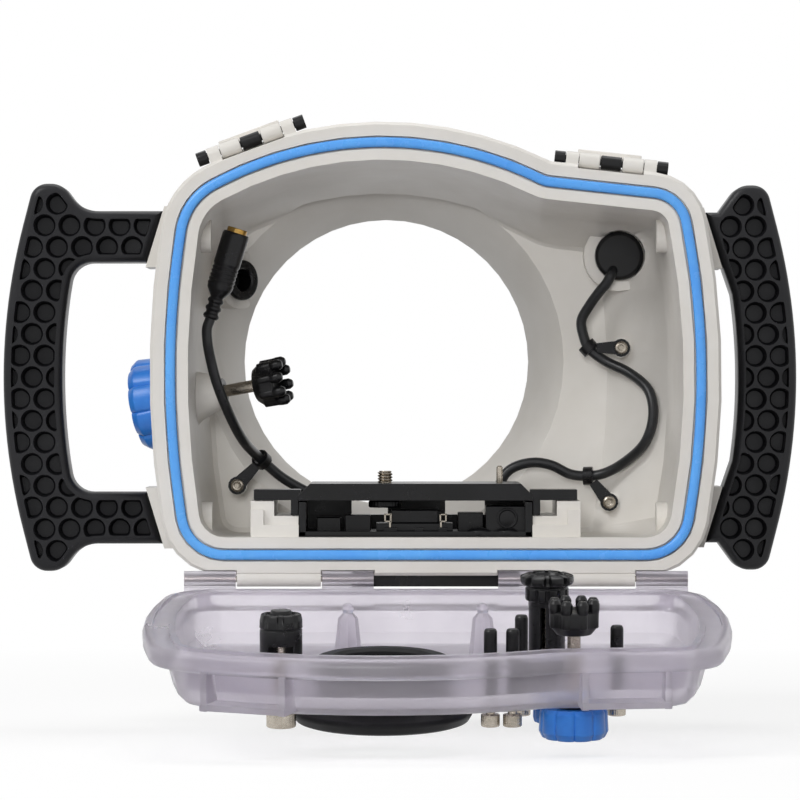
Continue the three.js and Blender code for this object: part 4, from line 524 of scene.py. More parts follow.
# Where two sides cross, at the crossing nearest to a spot
def meetSides(first, second, near):
    arc, other = (first, second) if "centre" in first else (second, first)
    if "centre" in other:
        apart = other["centre"] - arc["centre"]
        span = np.linalg.norm(apart)
        reach = (span ** 2 + arc["radius"] ** 2 - other["radius"] ** 2) / (2 * span)
        foot = arc["centre"] + apart / span * reach
        along = np.array((-apart[1], apart[0])) / span
    else:
        rise = (arc["centre"] - other["point"]) @ other["inward"]
        foot = arc["centre"] - other["inward"] * rise
        along = np.array((-other["inward"][1], other["inward"][0]))
    half = math.sqrt(arc["radius"] ** 2 - np.sum((foot - arc["centre"]) ** 2))
    ends = [foot + along * run for run in (half, -half)]
    return min(ends, key=lambda end: np.linalg.norm(end - near))


# The point of a side that is nearest to a spot
def footOn(side, spot):
    if "centre" in side:
        out = spot - side["centre"]
        return side["centre"] + out / np.linalg.norm(out) * side["radius"]
    return spot - side["inward"] * ((spot - side["point"]) @ side["inward"])


# The closed seal line moved inwards, as points in X and Z, equally many for every inset
def sealLoop(inset, fine=3):
    shoulder = seal["bottom"] + seal["shoulderRise"]
    corners = [
        (seal["lowerCorner"], 5, (seal["right"], seal["bottom"])),
        (seal["rightCorner"], 5, (seal["right"], shoulder)),
        (seal["shoulderCorner"], 4, (seal["shoulderX"], shoulder)),
        (seal["leftCorner"], 6, (-seal["left"], shoulder)),
        (seal["lowerCorner"], 5, (-seal["left"], seal["bottom"])),
    ]
    sides = sealSides(inset)
    arcs = []
    for i, (radius, steps, near) in enumerate(corners):
        following = (i + 1) % len(corners)
        reach = radius - inset if radius < 0 else max(radius - inset, seal["leastCorner"])
        shifted = sealSides(inset + reach)
        centre = meetSides(shifted[i], shifted[following], np.array(near))
        ends = footOn(sides[i], centre), footOn(sides[following], centre)
        arcs.append(arcBetween(centre, *ends, steps * fine))
    points = []
    for i, arc in enumerate(arcs):
        following = (i + 1) % len(corners)
        side, start, end = sides[following], arc[-1], arcs[following][0]
        points.append(arc)
        if "centre" in side:
            points.append(arcBetween(side["centre"], start, end, 12 * fine)[1:-1])
        else:
            points.append(start + (end - start) * np.linspace(0, 1, 8 * fine)[1:-1, None])
    return np.vstack(points)


# The seal's section, a flat foot under a superellipse, carried round its line
def makeSeal():
    turns = np.linspace(0, math.pi, 13)
    fullness = seal["fullness"]
    across = [-seal["half"] * math.copysign(abs(math.cos(t)) ** fullness, math.cos(t)) for t in turns]
    heights = [rimY - seal["proud"] + seal["crown"] * (1 - math.sin(t) ** fullness) for t in turns]
    feet = [(side * seal["foot"], rimY + seal["deep"]) for side in (-1, 1)]
    rows = []
    for inset, y in [feet[0]] + list(zip(across, heights)) + [feet[1]]:
        loop = sealLoop(inset)
        rows.append(np.stack([loop[:, 0], np.full(len(loop), y), loop[:, 1]], axis=1))
    rows = np.array(rows)
    fresh("door_seal", [(rows, gridFaces(len(rows), rows.shape[1], ring=True))], "seal", sharp=60)


# Hand grips: a rounded frame with round pockets in its rear face, cut off at a border inside its outline
grip = {"halfHeight": 82, "rise": 87.6, "armHalf": 70.4, "armInner": 48.6, "bar": 25, "bow": 251,
        "hornTop": 12, "hornRun": 8.5, "hornRadius": 9, "hornBlend": 15, "corner": 11, "elbowRoom": 9,
        "thick": 24, "round": 3, "gap": 0.3, "spill": 2, "slope": 7.9 / 25.8, "foot": 5.1, "footRun": 13,
        "overlap": 1, "tangentShare": 0.92, "elbowShare": 1.2}
pocket = {"radius": 4.75, "pitch": 10.6, "row": 9.18, "rows": (-9, 10), "columns": (-1, 9), "shift": 17.5,
          "border": 3.3, "probes": (1.5, 2.6, 3.7), "leastReach": 0.5, "leastArea": 9,
          "wallShares": ((1, 0), (0.965, 0.22), (0.93, 1), (0.88, 7.4), (0.74, 8.6), (0, 8.6))}
grips = {"grip_left": {"hand": -1, "near": 122.6, "out": 182.9, "depth": 45},
         "grip_right": {"hand": 1, "near": 122.4, "out": 154.1, "depth": 62}}


# Where a grip's arm ends at the body's pad, which slopes with the height
def padEnd(near, high):
    return near - (high - grip["armInner"] + grip["spill"]) * grip["slope"] + grip["gap"]


# A grip's outline: bowed bar, horns above and below, arms to the pads, and elbows where there is room
def gripOutline(near, out):
    def bowed(w):
        return out - w * w / (2 * grip["bow"])

    def inner(w):
        return bowed(w) - grip["bar"]

    def flip(rows):
        return [(u, -w, r) for u, w, r in rows]

    arm, high = grip["armHalf"], grip["halfHeight"]
    tangent = arm * grip["tangentShare"]
    hornOut = bowed(tangent) - (high - tangent) * tangent / grip["bow"]
    hornIn = hornOut - grip["hornTop"]
    padIn = padEnd(near, grip["armInner"])
    roomy = inner(grip["armInner"]) - padIn > grip["elbowRoom"]
    upper = [(padEnd(near, arm), arm, 0), (hornIn - grip["hornRun"], arm, grip["hornBlend"] if roomy else 0),
             (hornIn, high, grip["hornRadius"]), (hornOut, high, grip["hornRadius"])]
    reach = grip["armInner"] - grip["corner"] * grip["elbowShare"]
    outerBow = [(bowed(w), w, 0) for w in np.linspace(tangent, -tangent, 25)]
    innerBow = [(inner(w), w, 0) for w in np.linspace(-reach, reach, 21)]
    elbow = [(inner(grip["armInner"]), grip["armInner"], grip["corner"])] if roomy else []
    pad = [(padIn, grip["armInner"], 0)]
    corners = upper + outerBow + flip(upper)[::-1] + flip(pad) + flip(elbow) + innerBow + elbow + pad
    return roundedPath(corners, 9)


# How far a ray from a place runs to a closed outline, for many directions at once
def rayReach(place, headings, loop):
    edge = np.roll(loop, -1, axis=0) - loop
    gap = (loop - place)[None]
    ahead, aside = headings[:, None, 0], headings[:, None, 1]
    cross = ahead * edge[None, :, 1] - aside * edge[None, :, 0]
    cross = np.where(np.abs(cross) < tiny, tiny, cross)
    along = (gap[..., 0] * edge[None, :, 1] - gap[..., 1] * edge[None, :, 0]) / cross
    share = (gap[..., 0] * aside - gap[..., 1] * ahead) / cross
    slack = 1e-6
    good = (along > slack) & (share >= -slack) & (share <= 1 + slack)
    return np.where(good, along, np.inf).min(axis=1)


# Which places lie inside a closed outline: those with an odd number of its edges to one side
def insideLoop(places, loop):
    x, y = places[:, None, 0], places[:, None, 1]
    ends = np.roll(loop, -1, axis=0)
    spans = (loop[None, :, 1] > y) != (ends[None, :, 1] > y)
    rise = np.where(ends[:, 1] == loop[:, 1], tiny, ends[:, 1] - loop[:, 1])
    cuts = loop[None, :, 0] + (y - loop[None, :, 1]) * (ends - loop)[None, :, 0] / rise[None]
    return (spans & (x < cuts)).sum(axis=1) % 2 == 1


# Circles in staggered rows, each cut off where it passes the border, as a heart and offsets from it
def pocketLoops(out, border):
    rows, columns = np.meshgrid(np.arange(*pocket["rows"]), np.arange(*pocket["columns"]), indexing="ij")
    stagger = np.where(rows % 2 == 0, pocket["pitch"] / 2, 0)
    u = out - pocket["shift"] - columns * pocket["pitch"] + stagger
    turns = evenTurns(32)
    headings = np.stack([np.cos(turns), np.sin(turns)], axis=1)
    loops = []
    for middle in np.stack([u.ravel(), rows.ravel() * pocket["row"]], axis=1):
        spots = np.vstack([middle[None]] + [middle + headings * reach for reach in pocket["probes"]])
        inner = spots[insideLoop(spots, border)]
        if not len(inner):
            continue
        heart = inner.mean(axis=0)
        if not insideLoop(heart[None], border)[0]:
            continue
        shift = heart - middle
        dot = headings @ shift
        toCircle = -dot + np.sqrt(np.maximum(dot ** 2 - shift @ shift + pocket["radius"] ** 2, 0))
        reach = np.minimum(toCircle, rayReach(heart, headings, border))
        area = 0.5 * np.sum(reach * np.roll(reach, 1)) * math.sin(turns[1])
        if area > pocket["leastArea"] and reach.min() > pocket["leastReach"]:
            loops.append((heart, headings * reach[:, None]))
    return loops


# The rear face between the outline and the pockets, filled with triangles
def fillBetween(outer, holes):
    flat, edges = [], []
    for loop in [outer] + holes:
        start = sum(len(done) for done in flat)
        edges += [(start + i, start + (i + 1) % len(loop)) for i in range(len(loop))]
        flat.append(loop)
    done = delaunay_2d_cdt([Vector(spot) for spot in np.vstack(flat).tolist()], edges, [], 0, 1e-5)
    spots = np.array([tuple(spot) for spot in done[0]])
    triangles = np.array([face for face in done[2] if len(face) == 3])
    centres = spots[triangles].mean(axis=1)
    keep = insideLoop(centres, outer)
    for hole in holes:
        keep &= ~insideLoop(centres, hole)
    return spots, triangles[keep].tolist()


def makeGrip(name, hand, near, out, depth):
    def put(flat, y):
        return np.stack([hand * flat[:, 0], np.full(len(flat), y), flat[:, 1] + grip["rise"]], axis=1)

    loop = gripOutline(near, out)
    middle = rimY + depth
    rear, front = middle - grip["thick"] / 2, middle + grip["thick"] / 2
    # the outline carried from rear to front, with its two edges rounded
    turns = np.radians(np.linspace(0, 90, 6))
    offsets = [(grip["round"] * (1 - math.sin(t)), grip["round"] * (1 - math.cos(t))) for t in turns]
    profile = [(d, rear + y) for d, y in offsets] + [(d, front - y) for d, y in offsets[::-1]]
    rows = np.array([put(insetPath(loop, d), y) for d, y in profile])
    cap = insetPath(loop, grip["round"])
    parts = [(rows, gridFaces(len(rows), len(loop))), (put(cap, front), [range(len(cap))])]
    # each pocket's wall is a share of its outline at each depth
    pockets = pocketLoops(out, insetPath(loop, pocket["border"]))
    for heart, offsets in pockets:
        sunk = np.array([put(heart + offsets * share, rear + down) for share, down in pocket["wallShares"]])
        parts.append((sunk, gridFaces(len(sunk), len(offsets))))
    spots, triangles = fillBetween(cap, [heart + offsets for heart, offsets in pockets])
    parts.append((put(spots, rear), triangles))
    # a foot at the end of each arm, under the pad
    low, high = grip["armInner"] + grip["spill"], grip["armHalf"] - grip["spill"]
    reach = near + grip["foot"]
    for end in (-1, 1):
        foot = np.array([(padEnd(near, low), low), (reach, low), (reach, high), (padEnd(near, high), high)])
        foot[:, 1] *= end
        back = put(foot, front - grip["round"] - grip["overlap"])
        block = np.array([back, put(foot, front + grip["footRun"])])
        parts += [(block, gridFaces(2, 4)), (block[0], [range(4)]), (block[1], [range(4)])]
    fresh(name, parts, "grip", sharp=42)


makeSeal()
for name, places in grips.items():
    makeGrip(name, **places)
print("seal and grips made")


# The open door's frame: local X is the hinge's, Y runs out of its open side and Z away from the hinge.
# Heights on the door are measured from its inner face, its outer face or its mating face.
door = {"hinge": (0, -47, 3.4), "open": 96.6, "inner": -23.8, "outer": -27.8, "mating": -3.3}
doorFrame = Matrix.Translation(door["hinge"]) @ Matrix.Rotation(math.radians(door["open"]), 4, "X")


def onDoor(piece):
    return doorFrame @ Matrix.Translation((piece["x"], 0, piece["reach"]))


# The same turned over, to build outwards from a height under the door's outer face
def underDoor(piece, stand):
    spot = doorFrame @ Matrix.Translation((piece["x"], door["outer"] - stand, piece["reach"]))
    return spot @ Matrix.Rotation(math.pi, 4, "X")


# Fluted knob from height 0 up: the radius dips between broad lobes, more towards the outer edge
def knobPart(knob, matrix, dish=0.8):
    radius, thick, count = knob["radius"], knob["thick"], knob["flutes"]
    edge = thick * 0.14
    table = [
        (0, 0, 0), (radius * 0.9, 0, 0.5), (radius * 0.97, edge, 1), (radius, thick - 1.6 * edge, 1.4),
        (radius * 0.9, thick, 0.7), (radius * 0.62, thick, 0.5), (radius * 0.58, thick - dish, 0.5),
        (0, thick - dish, 0)]

    def lobes(profile, angles):
        crest = np.abs(np.cos(count * angles / 2)) ** 0.4
        outwards = rising(profile[:, :1], radius * 0.66, radius * 0.86)
        upwards = 1 + 0.8 * rising(profile[:, 1:2], thick * 0.6, thick)
        return 1 - knob["depth"] * outwards * upwards * (1 - crest)[None, :]

    return turned(table, matrix, count * 16, lobes=lobes)


# Pronged wheel from height 0 up: a waisted, softly fluted hub with round-ended prongs in a ring on it
wheel = {"radius": 10.5, "body": 9.6, "prong": 2.35, "proud": 4.5, "count": 8, "dish": 0.8, "waist": 1,
         "flute": 0.07}


def wheelParts(matrix):
    radius, body, prong, count = wheel["radius"], wheel["body"], wheel["prong"], wheel["count"]
    floor, top = body - wheel["dish"], body + wheel["proud"]
    hub = [
        (0, 0, 0), (radius * 0.66, 0, 0.8), (radius * 0.74, wheel["waist"], 1),
        (radius * 0.92, body * 0.34, 1.8), (radius * 0.93, floor, 0.8), (radius * 0.8, body, 0.8),
        (radius * 0.5, floor, 0.8), (0, floor, 0)]
    rod = [
        (0, body * 0.3, 0), (prong * 0.85, body * 0.3, 0.5), (prong * 0.9, body, 0.8),
        (prong * 0.86, top - 2.6 * prong, 1), (prong, top - 1.5 * prong, 1.2),
        (prong, top - 0.7 * prong, 0.9), (prong * 0.6, top, 1), (0, top, 0)]

    def lobes(profile, angles):
        return 1 - wheel["flute"] * rising(profile[:, :1], radius * 0.6, radius * 0.9) * waves(angles, count)

    parts = [turned(hub, matrix, count * 14, lobes=lobes)]
    for turn in 2 * math.pi * (np.arange(count) + 0.5) / count:
        spot = ((radius - prong) * math.cos(turn), 0, (radius - prong) * math.sin(turn))
        parts.append(turned(rod, matrix @ Matrix.Translation(spot), 20))
    return parts


# A tube's wall between two angles about local Y, closed at its ends
def arcWall(inner, outer, low, high, first, last, matrix):
    section = np.array([(inner, low), (outer, low), (outer, high), (inner, high)])
    rows = np.array([[(r * math.cos(t), y, r * math.sin(t)) for r, y in section]
                     for t in np.linspace(first, last, 24)])
    ends = rows[[0, -1]].mean(axis=1, keepdims=True).repeat(4, 1)
    rows = np.concatenate([ends[:1], rows, ends[-1:]])
    return moveBy(rows, matrix), gridFaces(len(rows), 4)


# Menu dial: a tube with a slit through it, a notched collar on it and a toothed cap close above.
# The tables are radius, height and rounding, the collar's from the neck and the cap's from the top.
menuDial = {
    "x": 43.4, "reach": 105, "stand": 4, "knob": {"radius": 5.5, "thick": 10, "flutes": 8, "depth": 0.08},
    "top": 21.3, "foot": 0.5, "footHigh": 5.2, "neck": 10.4, "sleeveEnd": 2.6, "lap": 0.4,
    "bore": 5.4, "wall": 7.3, "sleeve": 7.4, "slits": [(0.5, 0.4, 1.5, -0.16), (-0.5, 0.16, 0.5, 0.1)],
    "collar": [(7.4, -0.6, 0.5), (8.7, 0, 0.7), (8.7, 4.4, 0.7), (8.2, 5, 0.4)],
    "cap": [(8.4, -5, 0.6), (10.3, -4, 0.8), (10.7, -2.8, 0.6), (10.7, -1, 0.7), (8.4, 0, 0.6),
            (6.6, -0.6, 0.6), (6, -1.8, 0.4), (0, -1.8, 0)],
    "teeth": {"count": 12, "level": 0.5, "deep": 0.09, "hard": 7, "radii": (7.6, 8.4), "heights": (4.6, 4)},
    "capTeeth": {"count": 8, "level": 0.6, "deep": 0.24, "hard": 8, "radii": (7, 8.4),
                 "heights": (-4.6, -3.4)}}


def menuDialParts(matrix):
    dial, bore, sleeve = menuDial, menuDial["bore"], menuDial["sleeve"]
    top = door["mating"] + dial["top"]
    base, neck = door["inner"] + dial["foot"], top - dial["neck"]
    low, high = base + dial["footHigh"], neck - dial["sleeveEnd"]
    foot = [(bore, base, 0), (sleeve, base, 0.3), (sleeve, low, 0.2), (bore, low, 0)]
    foot = roundedPath(foot, 3, closed=False)
    body = [(bore, high, 0), (sleeve, high, 0.2)] + raised(dial["collar"], neck) + raised(dial["cap"], top)
    inside = [(0, neck), (bore, neck), (bore, high)]

    def teeth(profile, angles):
        onCollar = notches(profile, angles, dial["teeth"], neck)
        return 1 - onCollar - notches(profile, angles, dial["capTeeth"], top)

    parts = [turned(body, matrix, 240, lobes=teeth), turnedPart(inside, matrix, 240),
             turnedPart(np.vstack([foot, foot[:1]]), matrix, 96)]
    for first, past, last, short in dial["slits"]:  # each wall's ends in half turns, with an angle added
        walls = math.pi * first + past, math.pi * last + short
        parts.append(arcWall(bore, dial["wall"], low - dial["lap"], high + dial["lap"], *walls, matrix))
    return parts


# Crown wheel: a foot slotted across, a belt, and square notches round a hollow crown with a peg in it.
# The tables are radius, height and rounding: the wheel's from its top and the knob's from its face.
crown = {
    "x": -61.3, "reach": 150, "top": 13.6, "height": 18, "waist": 4.5, "socket": 6.3, "lap": 0.2,
    "bore": 2.95, "foot": 8.3, "footTurn": 0.95,
    "notches": {"count": 8, "level": 0.45, "deep": 0.13, "hard": 7, "radii": (4.9, 5.5),
                "heights": (-4.8, -3.8)},
    "wheel": [(8.3, -7.6, 0.3), (8, -7.4, 0.1), (8, -7, 0.1), (8.45, -6.8, 0.3), (8.45, -4, 0.8),
              (7.9, -1.6, 0.9), (6.4, -1.2, 0.4), (5.4, -3, 0.4), (4.3, -3, 0.3), (4, -0.1, 0.4),
              (0, -0.1, 0)],
    "face": 1.9, "stemEnd": 1.6, "stem": 2.6, "rim": 5.8,
    "knob": [(0, -5.6, 0), (4.4, -5.6, 0.3), (4.8, -6.2, 0.3), (5.8, -6, 0.6), (5.8, -0.3, 0.5),
             (5.2, 0, 0.3), (2.6, 0, 0.2)]}


def crownParts(matrix):
    top = door["mating"] + crown["top"]
    base = top - crown["height"]
    waist, bore, foot = base + crown["waist"], crown["bore"], crown["foot"]
    outer = [(bore, waist, 0), (foot, waist, 0.3)] + raised(crown["wheel"], top)
    inner = [(bore, waist), (bore, base + crown["socket"]), (0, base + crown["socket"])]

    def cuts(profile, angles):
        return 1 - notches(profile, angles, crown["notches"], top)

    parts = [turned(outer, matrix, 192, lobes=cuts), turnedPart(inner, matrix, 192)]
    for side in (0, math.pi):
        ends = side - crown["footTurn"], side + crown["footTurn"]
        parts.append(arcWall(bore, foot, base, waist + crown["lap"], *ends, matrix))
    return parts


def makeCrown():
    fresh("crown_wheel", crownParts(onDoor(crown)), "black", sharp=45)
    face, foot = door["outer"] - crown["face"], door["mating"] + crown["stemEnd"]
    knob = raised(crown["knob"], face) + [(crown["stem"], foot, 0), (0, foot, 0)]
    fresh("crown_knob", [turned(knob, onDoor(crown), 240, 3, knurl(crown["rim"], 0.025, 40))], "steel")


mainDial = {"x": 53, "reach": 140, "stand": 1.8, "wheelRise": 2.5,
            "knob": {"radius": 13.7, "thick": 12, "flutes": 10, "depth": 0.06}}


def makeDials():
    fresh("dial_knob", [knobPart(mainDial["knob"], underDoor(mainDial, mainDial["stand"]))], "blue")
    rise = Matrix.Translation((0, door["mating"] + mainDial["wheelRise"], 0))
    fresh("dial_wheel", wheelParts(onDoor(mainDial) @ rise), "black")
    fresh("menu_knob", [knobPart(menuDial["knob"], underDoor(menuDial, menuDial["stand"]))], "blue")
    fresh("menu_dial", menuDialParts(onDoor(menuDial)), "black")


# Push buttons: a knurled steel cap on a stem outside, and a black rod inside
button = {"inside": 2.9, "thick": 4.9, "dish": 0.5, "dishRadius": 2.2, "lip": 2.5, "radius": 3.7,
          "stem": 1.8, "stemEnd": 2, "rodFoot": 0.3,
          "rod": [(2.6, -1.6, 0.4), (2.5, -0.9, 0.3), (2, 0, 0.5), (0, 0, 0)]}
buttons = {"a": {"x": 20.2, "reach": 150, "top": 6.2}, "b": {"x": 28.8, "reach": 150, "top": 6.2},
           "c": {"x": 32.8, "reach": 125, "top": 7.7}, "d": {"x": 70.4, "reach": 125, "top": 3.6}}


def makeButtons():
    inside = door["outer"] - button["inside"]
    outside, foot = inside - button["thick"], door["inner"] + button["stemEnd"]
    dish, radius, stem = outside + button["dish"], button["radius"], button["stem"]
    cap = [
        (0, dish, 0), (button["dishRadius"], dish, 0.2), (button["lip"], outside, 0.3),
        (radius, outside, 0.8), (radius, inside, 0.4), (stem, inside, 0.2), (stem, foot, 0.2), (0, foot, 0)]
    low, wide = door["inner"] + button["rodFoot"], button["rod"][0][0]
    for letter, spot in buttons.items():
        rod = [(0, low, 0), (wide, low, 0.3)] + raised(button["rod"], door["mating"] + spot["top"])
        fresh("button_cap_" + letter, [turned(cap, onDoor(spot), 168, 3, knurl(radius, 0.03, 28))], "steel")
        fresh("button_rod_" + letter, [turned(rod, onDoor(spot), 40)], "black")


# Eyepiece: a smooth ring inside the door and a soft cup outside it, by radius, height and rounding
eyepiece = {
    "x": -22, "reach": 118, "gap": 0.3,
    "ring": [(21, 0, 0.1), (27.5, 0, 0.3), (27.5, 9.4, 4), (24, 10.5, 1.6), (19.8, 10.5, 0.8),
             (18.4, 9.2, 0.5), (18.4, 4.6, 0.2), (21, 4.6, 0.1)],
    "cup": [(21, 0, 0.3), (27.5, 0, 0.5), (29.6, -3, 3), (35.2, -6, 1.6), (36, -7.4, 1.4),
            (34, -10.6, 1.8), (31, -11.6, 1.2), (26, -6.6, 2), (21, -3.9, 0.6)]}


def makeEyepiece():
    ring = raised(eyepiece["ring"], door["inner"] + eyepiece["gap"])
    cup = raised(eyepiece["cup"], door["outer"] - eyepiece["gap"])
    fresh("eyepiece_ring", [turnedRing(ring, onDoor(eyepiece), 128, 6)], "rubber")
    fresh("eyecup", [turnedRing(cup, onDoor(eyepiece), 160, 6)], "rubber")


# Controls in the walls. Each has its place, the way its local Y points, and its tables along that way.
# The gland cap points forwards, as the scene's Y does
zoom = {"place": (-101.758, 5, 79.6), "along": (0.957597, -0.229899, 0.173648), "stand": 12.6,
        "wheelRise": 26.6,
        "knob": {"radius": 19.9, "thick": 12.6, "flutes": 10, "depth": 0.06},
        "washer": [(2.9, 10.8, 0.1), (5.6, 10.8, 0.3), (5.6, 12.6, 0.4), (2.9, 12.6, 0.1)]}
bush = {"place": (-84, 29, 129.7), "along": (math.sqrt(0.5), -math.sqrt(0.5), 0),
        "table": [(0, -11.9, 0), (6.5, -11.9, 0.2), (6.5, 0.3, 0.1), (8.7, 0.3, 0.3), (8.7, 2.5, 0.8),
                  (5.4, 2.5, 0.5), (4.6, 1.8, 0.4), (4.6, -6, 0.1), (0, -6, 0)]}
gland = {"place": (79.3, 0, 140), "front": 24.7,
         "table": [(0, -6, 0), (9, -5.9, 1), (10.4, -4.6, 0.9), (10.5, 0, 0.3), (5, 0, 0.1),
                   (5, 10, 0.2), (0, 10, 0)]}


def alongDirection(spot, heading):
    turn = Vector((0, 1, 0)).rotation_difference(Vector(heading))
    return Matrix.Translation(spot) @ turn.to_matrix().to_4x4()


def makeWallControls():
    spot, shaft = Vector(zoom["place"]), Vector(zoom["along"])
    inwards = alongDirection(spot, shaft)
    outwards = alongDirection(spot - shaft * zoom["stand"], -shaft)
    fresh("zoom_knob", [knobPart(zoom["knob"], outwards)], "blue")
    fresh("zoom_wheel", wheelParts(inwards @ Matrix.Translation((0, zoom["wheelRise"], 0))), "black")
    fresh("zoom_washer", [turnedRing(zoom["washer"], inwards, 48)], "black")
    fresh("bush", [turned(bush["table"], alongDirection(bush["place"], bush["along"]), 64)], "black")
    cap = turned(raised(gland["table"], gland["front"]), Matrix.Translation(gland["place"]), 72, 5)
    fresh("gland_cap", [cap], "black", sharp=55)


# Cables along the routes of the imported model, run on into the connector and the gland cap
cables = {"radius": 2.2, "routes": {
    "cable_left": [
        (-94.7, -22, 113.6), (-95.3, -22, 111.6), (-96.4, -21.9, 108.2), (-96.2, -21, 102), (-95, -18, 95),
        (-92.8, -15, 86), (-88.4, -9, 74), (-82.2, 6, 61), (-74.6, 26, 52.2), (-66.5, 30, 45),
        (-60.5, 31, 41.2), (-54.5, 31, 38.2), (-48.5, 31, 36.4)],
    "cable_right": [
        (76.8, 20.6, 134.4), (75.6, 17.4, 131.6), (73.6, 18.7, 128), (71.5, 20, 125.5), (66.8, 24, 119),
        (63.2, 27, 112), (64.2, 27.6, 105.5), (66.4, 27.5, 100.5), (73.2, 26, 95), (84, 20.4, 89.4),
        (91.6, 13.4, 82), (93.4, 10.6, 72), (90.4, 13.2, 60.4), (80.8, 23.2, 50.6), (72.5, 28, 46.2),
        (66.2, 29.5, 45.2), (58.5, 30, 46), (50.5, 30.5, 49.8), (43, 31, 51), (35.5, 31, 49.5),
        (31, 31, 46.6), (28, 31, 41.5)]}}
connector = {
    "place": (-95.3, -22, 111.6), "lean": 17, "start": 0.3,
    "ribs": {"count": 12, "phase": 1, "radius": 2.7, "step": 0.7, "start": 0.3 + 5 / 12, "pitch": 10 / 12,
             "rounding": 0.3},
    "rings": {"count": 20, "phase": 0, "radius": 5.6, "step": -0.3, "start": 15.6, "pitch": 0.42,
              "rounding": 0.08},
    "taper": [(2.9, 10.4, 0.6), (5.2, 13.6, 1.6), (5.5, 15.2, 0.3)],
    "barrel": [(5.7, 24.6, 0.3), (5.7, 37.4, 0.5), (5.3, 38.5, 0.4), (4.6, 38.5, 0.2), (4.6, 25, 0.2),
               (0, 25, 0)],
    "tip": [(2.6, 34.5, 0.1), (4.3, 34.5, 0.1), (4.3, 40.5, 0.4), (2.6, 40.5, 0.3)]}


def makeCables():
    for name, route in cables["routes"].items():
        fresh(name, [sweptPart(throughRoute(route), cables["radius"])], "cable")


# Rings along a bar, two at one radius and two at the other by turns
def ringed(count, phase, radius, step, start, pitch, rounding):
    return [(radius + step * ((i + phase) % 4 > 1), start + pitch * i, rounding) for i in range(count)]


# Connector: a ribbed strain relief, a taper, a barrel with fine rings round it, and a gold tip
def makeConnector():
    plug = connector
    spot = Matrix.Translation(plug["place"]) @ Matrix.Rotation(math.radians(plug["lean"]), 4, "Y")
    spot = spot @ Matrix.Rotation(math.pi / 2, 4, "X")
    table = [(0, plug["start"], 0)] + ringed(**plug["ribs"]) + plug["taper"]
    table += ringed(**plug["rings"]) + plug["barrel"]
    fresh("connector", [turned(table, spot, 56, 3)], "black")
    fresh("connector_tip", [turnedRing(plug["tip"], spot, 56)], "gold")


# A thread round local Y: the radius is a ridge that follows height over pitch less the angle's share
def threadPart(thread, matrix, around=48, perTurn=10):
    low, high, core, pitch = [thread[key] for key in ("low", "high", "core", "pitch")]
    heights = np.linspace(low, high, int((high - low) / pitch * perTurn) + 1)

    def ridges(profile, angles):
        y = profile[:, 1:2]
        phase = (y / pitch - angles / (2 * math.pi)) % 1
        faded = rising(y, low, low + thread["runIn"]) * (1 - rising(y, high - thread["runOut"], high))
        flank = np.clip(thread["steep"] * (0.5 - np.abs(phase - 0.5)), 0, 1)
        return 1 + thread["ridge"] / core * faded * flank

    return turnedPart([(0, low)] + [(core, y) for y in heights] + [(0, high)], matrix, around, ridges)


# Screws and pins: places, and tables of radius, height and rounding
cameraScrew = {
    "place": (-21.3, -20, 35.9), "rim": 7,
    "head": [(0, -3.3, 0), (6.4, -3.3, 0.5), (7, -2.8, 0.4), (7, -0.8, 0.4), (6.6, -0.3, 0.3), (0, -0.3, 0)],
    "thread": {"low": -0.4, "high": 12.2, "core": 2.45, "ridge": 0.72, "pitch": 1.27, "steep": 2.6,
               "runIn": 0.4, "runOut": 0.7}}
locatingPin = {
    "place": (27, -20, 35.9),
    "table": [(0, 3.9, 0), (1.35, 3.9, 0.1), (1.35, 13.6, 0.2), (0.75, 14.4, 0.3), (0, 14.4, 0)]}
clipScrew = {
    "places": {"left": (-85.1, 20.9, 41.2), "upper": (80.3, 22.4, 100.5), "lower": (75.2, 24.4, 34)},
    "socket": 1.25, "socketDeep": 0.12,
    "table": [(0, 1, 0), (1.2, 1, 0.1), (1.2, 0.2, 0.1), (1.9, 0, 0.3), (2.7, 0.5, 0.5), (2.9, 1.8, 0.1),
              (1.3, 1.8, 0.1), (1.3, 7.8, 0.2), (0, 7.8, 0)]}
hingePin = {"radius": 1.3, "rounding": 0.3, "spans": ((-105, -26), (26, 105))}


def upright(spot):
    return Matrix.Translation(spot) @ Matrix.Rotation(math.pi / 2, 4, "X")


def makeScrews():
    spot = upright(cameraScrew["place"])
    head = turned(cameraScrew["head"], spot, 120, 3, knurl(cameraScrew["rim"], 0.03, 30))
    fresh("camera_screw", [head], "black", ending="_head")
    fresh("camera_screw", [threadPart(cameraScrew["thread"], spot)], "steel", ending="_thread")
    fresh("locating_pin", [turned(locatingPin["table"], upright(locatingPin["place"]), 32)], "steel")

    def socket(profile, angles):
        return 1 - clipScrew["socketDeep"] * (profile[:, :1] < clipScrew["socket"]) * waves(angles, 6)

    for which, spot in clipScrew["places"].items():
        screw = turned(clipScrew["table"], Matrix.Translation(spot), 48, lobes=socket)
        fresh("clip_screw_" + which, [screw], "steel")
    # two short pins, so that the base plate shows between the middle knuckles
    radius, rounding = hingePin["radius"], hingePin["rounding"]
    axle = Matrix.Translation(door["hinge"]) @ Matrix.Rotation(-math.pi / 2, 4, "Z")
    pins = [turned([(0, a, 0), (radius, a, rounding), (radius, b, rounding), (0, b, 0)], axle, 24, 3)
            for a, b in hingePin["spans"]]
    fresh("hinge_pin", pins, "steel")


